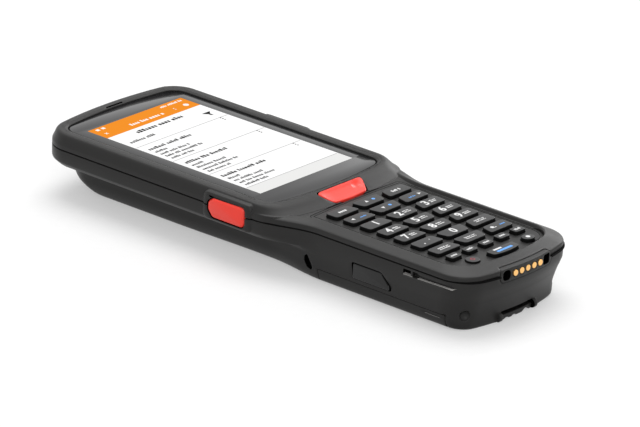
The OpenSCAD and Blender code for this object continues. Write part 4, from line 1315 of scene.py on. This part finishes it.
def main_legend(mesh, name, kind, x, y, top):
    """What is printed on a main key."""
    rise = sizes().print_rise
    seed = sum(map(ord, name))
    if isinstance(kind, int):
        shift = {90: -1.6, 270: -1.6, 180: -3.4, 0: 3.6}[kind]
        arrow(mesh, x + shift, y, top, kind, rise)
        if kind in (90, 270):
            dot(mesh, x + 2.3, y + 0.1, top, 0.72, rise, 20, BLUE)
        else:
            block_row(mesh, x - 1.2 - shift * 0.35, y - 0.4, 3.4, 0.8, top, rise, BLUE, seed)
    elif kind == "mark":
        block_row(mesh, x - 2.4, y, 5.0, 1.5, top, rise, WHITE, seed)
    elif kind == "dot":
        dot(mesh, x - 2.2, y - 1.0, top, 0.36, rise, 16)
        dot(mesh, x + 2.0, y + 0.6, top, 0.22, rise, 16)
    elif kind == "rows":
        small_rows(mesh, x - 2.9, y, top, 5.8, rise, seed)
    elif kind == "tools":
        dot(mesh, x - 2.6, y + 0.1, top, 0.8, rise, 18)
        bar(mesh, x - 1.6, y - 0.5, 1.6, 0.35, top, rise, WHITE)
        block_row(mesh, x + 1.6, y + 0.1, 3.4, 0.9, top, rise, BLUE, seed)
    elif kind in ("0", "1"):
        digit(mesh, kind, x, y, top, rise)
    else:
        digit(mesh, kind, x - 2.1, y, top, rise)
        small_rows(mesh, x + 0.2, y, top, 3.6, rise, seed)


def place_key(mesh, name):
    """Puts a keycap on its own body."""
    finishes = [key_finish(), print_white(), print_blue(), print_red(), painted_side_shade_finish()]
    place(as_object("cap_" + name[4:], mesh), name, finishes, [name])


def build_keys():
    """Every keycap with its print."""
    edge = sizes().key_round
    for name, (column_number, kind) in KEY_CELLS.items():
        x, y, hx, hy, top = key_frame(name)
        mesh = keycap(main_plan(column_number, x, y, hx, hy), sizes().key_corner, top, edge)
        main_legend(mesh, name, kind, x, y, top)
        place_key(mesh, name)
    for i, name in enumerate(SMALL_KEYS):
        x, y, hx, hy, top = key_frame(name)
        mesh = keycap(rectangle(x, y, 2 * hx, 2 * hy), 1.0, top, edge)
        block_row(mesh, x - 1.6, y, 3.2, 1.2, top, sizes().print_rise, WHITE, 60 + i)
        place_key(mesh, name)
    build_settings_key(edge)
    build_power_key()
    build_function_key(edge)


def build_settings_key(edge):
    """Oval key with a round mark."""
    x, y, hx, hy, top = key_frame("key_settings")
    mesh = keycap(oval(x, y, hx * ROUND_KEY_STRETCH, hy * 0.95, 8), 0, top, edge)
    dot(mesh, x, y, top, 0.9, sizes().print_rise, 20)
    place_key(mesh, "key_settings")


def build_power_key():
    """Round key with a red open ring and a bar in its gap."""
    rise = sizes().print_rise
    x, y, hx, hy, top = key_frame("key_power")
    mesh = keycap(oval(x, y, hx, hy, 12), 0, top, 0.2)
    turns = [math.pi / 12 * (k + 0.5) for k in range(-6, 18)]
    ring = loft([[(x + r * math.cos(t), y + r * math.sin(t), z) for t in turns] for r, z in (
        (0.6, top - 0.01), (0.6, top + rise), (0.92, top + rise), (0.92, top - 0.01))],
        closed=True)
    add(mesh, ring, RED)
    bar(mesh, x, y + 0.75, 0.3, 0.8, top + rise, 0.01, RED)
    place_key(mesh, "key_power")


def build_function_key(edge):
    """Wide key with a blue bar and a white one."""
    rise = sizes().print_rise
    x, y, hx, hy, top = key_frame("key_function")
    mesh = keycap(function_plan(x, y, hx, hy), 1.0, top, edge)
    add(mesh, prism(rectangle(x, y - 0.4, 8.5, 1.2), top - 0.01, top + rise, radius=0.3), BLUE)
    bar(mesh, x - 2.2, y + hy - 1.2, 4.4, 0.95, top, rise, WHITE)
    place_key(mesh, "key_function")


def panel_openings():
    """An opening round every key."""
    span = OPENING_LOW, OPENING_HIGH
    gap = KEY_GAP
    tools = []
    for name, (column_number, _) in KEY_CELLS.items():
        x, y, hx, hy, _ = key_frame(name)
        tools.append(prism(main_plan(column_number, x, y, hx + gap, hy + gap), *span,
                           radius=sizes().key_corner + gap))
    for name in SMALL_KEYS:
        x, y, hx, hy, _ = key_frame(name)
        tools.append(prism(rectangle(x, y, 2 * (hx + gap), 2 * (hy + gap)), *span, radius=1.2))
    for name, stretch in (("key_power", 1), ("key_settings", ROUND_KEY_STRETCH)):
        x, y, hx, hy, _ = key_frame(name)
        tools.append(prism(oval(x, y, hx * stretch + gap, hy + gap, 12), *span))
    x, y, hx, hy, _ = key_frame("key_function")
    tools.append(prism(function_plan(x, y, hx, hy, gap), *span, radius=1.2))
    return tools


def build_panel():
    """Keypad panel with a fine groove near its edge and an opening for every key."""
    panel = as_object("keypad_plate", stack(panel_outline, (
        (0, PANEL_Z - PANEL_THICK), (0, PANEL_Z - 0.3), (-0.08, PANEL_Z - 0.08),
        (-0.3, PANEL_Z))))
    outer, inner = GROOVE_EDGES
    high, low = PANEL_Z + 0.5, PANEL_Z - GROOVE_DEPTH
    groove = stack(panel_outline, ((outer, high), (outer, low), (inner, low), (inner, high)),
                   closed=True)
    cut(panel, groove, *panel_openings())
    place(panel, STATIC, [panel_finish()], ["keypad_panel"])


# ---------------------------------------------------------------- scan keys

DISH_DEPTH = 0.5
END_RISE, END_RUN = 0.15, 5  # the scan key rises towards its right end
SCOOP_DEPTH = 0.5
SCOOP_SPOT = (4.6, 1.3)  # in from the right end, forward of the middle
SCOOP_REACH = (2.6, 1.9)
BUTTON_ROUND = 1.15


def slope_height(y):
    """Height of the slope in front of the glass."""
    for (y0, z0), (y1, z1) in zip(SLOPE, SLOPE[1:]):
        if y < y1:
            return z0 + (z1 - z0) * (y - y0) / (y1 - y0)
    return CREST


def build_front_scan_key():
    """Red key on the slope: a dished face with a scoop and a raised end."""
    low, high = corners("front_scan_key")
    half, middle = high.x, (low.y + high.y) / 2
    reach = (high.y - low.y) / 2
    key = as_object("scan_key_front", prism(scan_key_plan(0), PARTING + 1.5, FAR_Z, radius=1.7,
                                            segments=6))
    face = bmesh.new()
    bmesh.ops.create_grid(face, x_segments=44, y_segments=20, size=1)
    for vert in face.verts:
        x, y = vert.co.x * (half + 2), middle + vert.co.y * (reach + 1.5)
        dish = max(0, 1 - (x / (half - 1)) ** 4) * max(0, 1 - ((y - middle) / (reach - 0.6)) ** 4)
        scoop = max(0, 1 - ((x - half + SCOOP_SPOT[0]) / SCOOP_REACH[0]) ** 2
                    - ((y - middle - SCOOP_SPOT[1]) / SCOOP_REACH[1]) ** 2)
        end = ease((x - half + END_RUN) / END_RUN) * END_RISE
        z = (slope_height(y - 0.3 * (x / half) ** 2) + 0.16 + end - DISH_DEPTH * dish
             - SCOOP_DEPTH * scoop)
        vert.co = (x, y, min(z, CREST - 0.05))
    grown = bmesh.ops.extrude_face_region(face, geom=list(face.faces))["geom"]
    for vert in grown:
        if isinstance(vert, bmesh.types.BMVert):
            vert.co.z = PARTING - 4
    bmesh.ops.recalc_face_normals(face, faces=face.faces)
    combine(key, [face], "INTERSECT")
    soften(key, 0.3, angle=35, segments=3)
    place(key, "front_scan_key", [scan_finish()], ["front_scan_key"])


def build_side_button(side, node_name, name, made):
    """Side button with a broad soft edge round its face."""
    low, high = corners(node_name)
    outer, inner = (low.x, high.x) if side < 0 else (high.x, low.x)
    mesh = side_prism(button_plan(node_name, 0), side, abs(inner), abs(outer), 0.8, 4)
    round_rim(mesh, 0, outer, BUTTON_ROUND, 4, profile=0.36)
    place(as_object(name, mesh), node_name, [made], [node_name])


# ---------------------------------------------------------------- charging end, battery

SOCKET_INSET = 3.2  # from the ends of the contact block to the middles of its sockets
SOCKET_SIZE = (3.8, 3.9)
SOCKET_ROUND = {-1: 1.5, 1: 0.7}
PINS = range(-2, 3)
PIN_SHARE = 0.84  # a pin shows this share of its CAD radius
PIN_GAP = 0.16
PIN_SINK = 0.3  # its face lies this far behind its CAD face
DOOR_SLOT = (2, 9.2, 3.9, 4.5)  # from and to along the door, from and to in height
HINGE_PIN_X, HINGE_PIN_RADIUS = 16, 0.9
RIB_WIDTH, RIB_TOP = 1.6, 3.2  # the door's two stiffening ribs
GRIP_GROOVES, GRIP_PITCH, GRIP_DEPTH = 8, 1.8, 0.45
# number of the painted highlight on the ledges of the door's side slots
DOOR_HIGHLIGHT = 1


def build_contact_block(radius, pitch):
    """Black block of the charging end, with a socket at each end and a hole for each pin."""
    low, high = corners("contact_block")
    middle = (low.z + high.z) / 2
    block = as_object("contact_carrier", contact_notch(-0.02, high.y))
    combine(block, [column(body_outline(-0.1), low.z - 2, high.z + 2)], "INTERSECT")
    # The sockets and the pin holes take the painted shade.
    tools = [dark(prism(rectangle(side * (high.x - SOCKET_INSET), middle, *SOCKET_SIZE),
                        low.y - 4, low.y + 4.2, "Y", SOCKET_ROUND[side])) for side in (-1, 1)]
    tools += [dark(rod((i * pitch, low.y + 2, middle), radius + PIN_GAP, 6, "Y")) for i in PINS]
    cut(block, *tools)
    soften(block, 0.15)
    place(block, STATIC, [shell_finish(), painted_shade_finish()], ["contact_block"])


def build_charging_end():
    """The contact block and the gold pins in it."""
    block_low, block_high = corners("contact_block")
    middle = (block_low.z + block_high.z) / 2
    low, high = corners("charging_pins")
    full_radius = (high.z - low.z) / 2
    pitch = (high.x - low.x - 2 * full_radius) / 4
    radius = full_radius * PIN_SHARE
    build_contact_block(radius, pitch)
    front = low.y + PIN_SINK
    mesh = bmesh.new()
    for i in PINS:
        pin = rod((i * pitch, (front + high.y) / 2, middle), radius, high.y - front, "Y", 40)
        add(mesh, round_rim(pin, 1, front, 0.35, 4, clamp=False))
    place(as_object("gold_pins", mesh), STATIC, [gold_finish()],
          ["charging_pins"])


def build_battery_door():
    """Battery door: the part of the rear skin under the battery, with its hinge pins."""
    door = as_object("door_cover", rear_skin())
    combine(door, [door_block(0)], "INTERSECT")
    room = as_object("room", rear_hollow())
    cut(room, *[box((-BAY_HALF, y, -2), (BAY_HALF, y + RIB_WIDTH, RIB_TOP))
                for y in (DOOR_LOW.y + 2, DOOR_HIGH.y - 3)])
    cut(door, as_mesh(room))
    for i in range(GRIP_GROOVES):
        grip = rectangle(0, DOOR_HIGH.y - 6 - i * GRIP_PITCH, 13 + i * 1.2, 0.9)
        cut(door, prism(grip, -1, GRIP_DEPTH, radius=0.4))
    y0, y1 = DOOR_LOW.y + DOOR_SLOT[0], DOOR_LOW.y + DOOR_SLOT[1]
    z0, z1 = DOOR_SLOT[2:]
    for side in (-1, 1):
        slot = side_prism([(y0, z0), (y1, z0), (y1, z1), (y0, z1)], side, TAIL_X - 2.2,
                          TAIL_X + 4)
        # The slot's lower ledge takes the painted highlight.
        cut(door, paint(slot, DOOR_HIGHLIGHT, looks_down))
    soften(door, sizes().edge_round)
    lift_foot(door)
    for side in (-1, 1):
        join(door, rod((side * HINGE_PIN_X, HINGE_Y, HINGE_Z), HINGE_PIN_RADIUS, 6, "X", 24))
    place(door, "battery_door", [shell_finish(), painted_highlight_finish()], ["battery_door"])


def build_latch(side, name):
    """Sliding latch in the side wall, with the tongue that holds the door."""
    low, high = corners(name)
    outer, tip = (low.x, high.x) if side < 0 else (high.x, low.x)
    inner = outer - side * 3
    mesh = side_prism(latch_plan(0), side, abs(inner), abs(outer), 0.9, 4)
    # The latch's edge walls take the painted key-side shade; its outer face stays in the latch
    # finish.
    paint(mesh, 0, looks_sideways, 1)
    round_rim(mesh, 0, outer, 0.5, 3, clamp=False)
    y, z = (low.y + high.y) / 2, (low.z + high.z) / 2
    x = sorted((tip, inner + side * 0.2))
    add(mesh, box((x[0], y - 3, z - 2), (x[1], y + 3, z + 2)))
    place(as_object("latch_" + name[11:], mesh), name,
          [latch_finish(), painted_side_shade_finish()], [name])


# ---------------------------------------------------------------- parts that stay as packed

def node_finishes():
    """Finish of each CAD node that nothing replaces."""
    board = finish("Circuit board", (0.01, 0.12, 0.05), 0.35, drift=0.3, grain=1500.0, coat=0.3)
    return {
        "housing_gasket": seal_and_gap_shade_finish(), "housing_screws": steel_finish(),
        "display_panel": finish("Display edge", (0.3, 0.3, 0.31), 0.4),
        "display_frame": finish("Plate metal", (0.5, 0.5, 0.5), 0.4, metal=1.0),
        "receiver": finish("Receiver mesh", (0.02, 0.02, 0.02), 0.6, grain=2500.0, depth=0.8),
        "keypad_mat": seal_and_gap_shade_finish(), "key_domes": gold_finish(), "keypad_board": board,
        "main_board": board, "scan_engine": dark_finish(), "loudspeaker": dark_finish(),
        "scan_window": finish("Scan window", (0.05, 0.004, 0.006), 0.06, depth=0.01, coat=0.8,
                              coat_rough=0.03),
        "side_switches": board, "strap_bar": shell_finish(),
        "battery_pack": finish("Battery wrap", (0.03, 0.03, 0.034), 0.4, drift=0.2, coat=0.2),
        "battery_contacts": gold_finish()}


def dress_nodes():
    """Gives those nodes their finishes."""
    for name, made in node_finishes().items():
        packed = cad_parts[name]
        if not packed.material_slots:
            packed.data.materials.append(made)
        for entry in packed.material_slots:
            entry.material = made


# ---------------------------------------------------------------- stage

# The camera looks at AIM from an azimuth and an elevation, in degrees, turned by its roll and
# shifted to its right and up
CAMERA_AZIMUTH = -50.131
CAMERA_ELEVATION = 21.906
CAMERA_ROLL = 2.509
CAMERA_DISTANCE = 2000.0
CAMERA_SHIFT = (37.806, -25.971)
CAMERA_SENSOR, CAMERA_LENS = 36, 298.8
AIM = Vector((0, 45.5, 25))
WHITE_LIGHT = (1, 1, 1, 1)
WORLD_LIGHT = 0.62
FLOOR_SIZE = 4  # metres from its middle to each side
FLOOR_SHADE = (0.56, 0.59)
FLOOR_GLOW = 0.38
# Name, place in metres, diameter and power
LAMPS = (("top_softbox", (0.35, 0.35, 1.3), 1.2, 11.0),
         ("fill_softbox", (-1.0, -0.9, 0.8), 0.9, 4.0),
         ("side_strip", (1.34, 0.29, 0.62), 0.5, 3.2))


def build_camera():
    """Long camera that looks across the terminal's left side from its charging end."""
    azimuth, elevation = math.radians(CAMERA_AZIMUTH), math.radians(CAMERA_ELEVATION)
    back = Vector((math.sin(azimuth) * math.cos(elevation),
                   -math.cos(azimuth) * math.cos(elevation), math.sin(elevation)))
    right = Vector((0, 0, 1)).cross(back).normalized()
    up = back.cross(right)
    roll = math.radians(CAMERA_ROLL)
    right, up = (right * math.cos(roll) + up * math.sin(roll),
                 up * math.cos(roll) - right * math.sin(roll))
    spot = AIM + right * CAMERA_SHIFT[0] + up * CAMERA_SHIFT[1] + back * CAMERA_DISTANCE
    data = bpy.data.cameras.new("camera")
    data.sensor_width = CAMERA_SENSOR
    data.lens = CAMERA_LENS
    data.clip_start, data.clip_end = 0.1, 20
    camera = bpy.data.objects.new("camera", data)
    camera.matrix_world = Matrix.Translation(spot * MM) @ Matrix(
        (right, up, back)).transposed().to_4x4()
    bpy.context.scene.collection.objects.link(camera)
    bpy.context.scene.camera = camera


def white_for_the_eye(tree, shader_socket, white):
    """Shows the given white to camera, glossy and transmitted rays, and the shader to others."""
    path = node(tree, "ShaderNodeLightPath")
    seen = node(tree, "ShaderNodeMath", [
        (0, path.outputs["Is Camera Ray"]), (1, path.outputs["Is Glossy Ray"])],
        operation="MAXIMUM")
    seen = node(tree, "ShaderNodeMath", [
        (0, seen.outputs[0]), (1, path.outputs["Is Transmission Ray"])], operation="MAXIMUM")
    mix = node(tree, "ShaderNodeMixShader")
    tree.links.new(seen.outputs[0], mix.inputs["Fac"])
    tree.links.new(shader_socket, mix.inputs[1])
    tree.links.new(white, mix.inputs[2])
    return mix


def build_world():
    """Even light from all round that shows as white."""
    world = bpy.data.worlds.new("studio")
    bpy.context.scene.world = world
    world.use_nodes = True
    tree = world.node_tree
    soft = tree.nodes["Background"]
    soft.inputs["Color"].default_value = WHITE_LIGHT
    soft.inputs["Strength"].default_value = WORLD_LIGHT
    bright = node(tree, "ShaderNodeBackground", [("Color", WHITE_LIGHT), ("Strength", 1.0)])
    mix = white_for_the_eye(tree, soft.outputs[0], bright.outputs[0])
    tree.links.new(mix.outputs[0], tree.nodes["World Output"].inputs["Surface"])


def paper_finish():
    """Pale paper that keeps the object's shadow and is lifted to white for the eye."""
    paper = bpy.data.materials.new("Studio paper")
    paper.use_nodes = True
    tree = paper.node_tree
    shader = tree.nodes["Principled BSDF"]
    shader.inputs["Roughness"].default_value = 0.9
    shader.inputs["Specular IOR Level"].default_value = 0.1
    speckle = node(tree, "ShaderNodeTexNoise", [
        ("Vector", node(tree, "ShaderNodeTexCoord").outputs["Object"]), ("Scale", 300.0)])
    shade = node(tree, "ShaderNodeMapRange", [
        ("Value", speckle.outputs["Fac"]), ("To Min", FLOOR_SHADE[0]), ("To Max", FLOOR_SHADE[1])])
    tree.links.new(shade.outputs[0], shader.inputs["Base Color"])
    glow = node(tree, "ShaderNodeEmission", [("Color", WHITE_LIGHT), ("Strength", FLOOR_GLOW)])
    both = node(tree, "ShaderNodeAddShader")
    tree.links.new(shader.outputs[0], both.inputs[0])
    tree.links.new(glow.outputs[0], both.inputs[1])
    mix = white_for_the_eye(tree, shader.outputs[0], both.outputs[0])
    tree.links.new(mix.outputs[0], tree.nodes["Material Output"].inputs["Surface"])
    return paper


def build_lamps():
    """Soft round lamps that face the terminal."""
    for name, spot, size, power in LAMPS:
        data = bpy.data.lights.new(name, "AREA")
        data.shape = "DISK"
        data.size = size
        data.energy = power
        lamp = bpy.data.objects.new(name, data)
        lamp.location = spot
        lamp.rotation_mode = "QUATERNION"
        lamp.rotation_quaternion = (-Vector(spot)).to_track_quat("-Z", "Y")
        bpy.context.scene.collection.objects.link(lamp)


def build_stage():
    """World, floor and lamps."""
    bpy.context.scene.view_settings.view_transform = "Standard"
    build_world()
    floor_mesh = bmesh.new()
    bmesh.ops.create_grid(floor_mesh, x_segments=2, y_segments=2, size=FLOOR_SIZE)
    floor = as_object("floor", floor_mesh)
    floor.data.materials.append(paper_finish())
    build_lamps()


# ---------------------------------------------------------------- add-on

class TerminalOperator:
    """Shared by the operators that build pieces."""

    bl_options = {"REGISTER", "UNDO"}


class TERMINAL_OT_stage(TerminalOperator, bpy.types.Operator):
    """Make the floor, the lights and the camera"""

    bl_idname = "terminal.stage"
    bl_label = "Stage"

    def execute(self, context):
        build_camera()
        build_stage()
        return {"FINISHED"}


class TERMINAL_OT_housings(TerminalOperator, bpy.types.Operator):
    """Make the front and the rear shell and the strap bar"""

    bl_idname = "terminal.housings"
    bl_label = "Housings"

    def execute(self, context):
        build_front_shell()
        build_rear_shell()
        build_strap_bar()
        return {"FINISHED"}


class TERMINAL_OT_display(TerminalOperator, bpy.types.Operator):
    """Make the cover glass and the page that shows under it"""

    bl_idname = "terminal.display"
    bl_label = "Display"

    def execute(self, context):
        build_glass()
        build_screen()
        return {"FINISHED"}


class TERMINAL_OT_keypad(TerminalOperator, bpy.types.Operator):
    """Make the keypad panel and every key"""

    bl_idname = "terminal.keypad"
    bl_label = "Keypad"

    def execute(self, context):
        build_panel()
        build_keys()
        return {"FINISHED"}


class TERMINAL_OT_scan_keys(TerminalOperator, bpy.types.Operator):
    """Make the scan keys and the side rocker"""

    bl_idname = "terminal.scan_keys"
    bl_label = "Scan keys"

    def execute(self, context):
        build_front_scan_key()
        build_side_button(-1, "left_scan_button", "scan_key_left", scan_finish())
        build_side_button(1, "volume_rocker", "rocker_right", key_finish())
        return {"FINISHED"}


class TERMINAL_OT_charging(TerminalOperator, bpy.types.Operator):
    """Make the charging contacts"""

    bl_idname = "terminal.charging"
    bl_label = "Charging end"

    def execute(self, context):
        build_charging_end()
        return {"FINISHED"}


class TERMINAL_OT_battery(TerminalOperator, bpy.types.Operator):
    """Make the battery door and its latches"""

    bl_idname = "terminal.battery"
    bl_label = "Battery door"

    def execute(self, context):
        build_battery_door()
        build_latch(-1, "door_latch_left")
        build_latch(1, "door_latch_right")
        return {"FINISHED"}


class TERMINAL_OT_inner(TerminalOperator, bpy.types.Operator):
    """Give the parts that stay as packed their finishes"""

    bl_idname = "terminal.inner"
    bl_label = "Inner parts"

    def execute(self, context):
        dress_nodes()
        return {"FINISHED"}


OPERATORS = (TERMINAL_OT_stage, TERMINAL_OT_housings, TERMINAL_OT_display, TERMINAL_OT_keypad,
             TERMINAL_OT_scan_keys, TERMINAL_OT_charging, TERMINAL_OT_battery, TERMINAL_OT_inner)


class TERMINAL_PT_panel(bpy.types.Panel):
    """Sidebar panel with the sizes, the colours and the operators"""

    bl_idname = "TERMINAL_PT_panel"
    bl_label = "Data terminal"
    bl_space_type = "VIEW_3D"
    bl_region_type = "UI"
    bl_category = "Terminal"

    def draw(self, context):
        """Lists the settings, then the operators."""
        for settings in (context.scene.terminal_sizes, context.scene.terminal_colours):
            for name in settings.__annotations__:
                self.layout.prop(settings, name)
        for operator in OPERATORS:
            self.layout.operator(operator.bl_idname)


CLASSES = (TerminalSizes, TerminalColours, *OPERATORS, TERMINAL_PT_panel)


def register():
    """Adds the classes and the settings to Blender."""
    for item in CLASSES:
        bpy.utils.register_class(item)
    bpy.types.Scene.terminal_sizes = PointerProperty(type=TerminalSizes)
    bpy.types.Scene.terminal_colours = PointerProperty(type=TerminalColours)


def unregister():
    """Takes them out again."""
    del bpy.types.Scene.terminal_colours
    del bpy.types.Scene.terminal_sizes
    for item in reversed(CLASSES):
        bpy.utils.unregister_class(item)


def main():
    """Builds the terminal and its stage."""
    register()
    for operator in OPERATORS:
        area, name = operator.bl_idname.split(".")
        getattr(getattr(bpy.ops, area), name)()


if __name__ == "__main__":
    main()
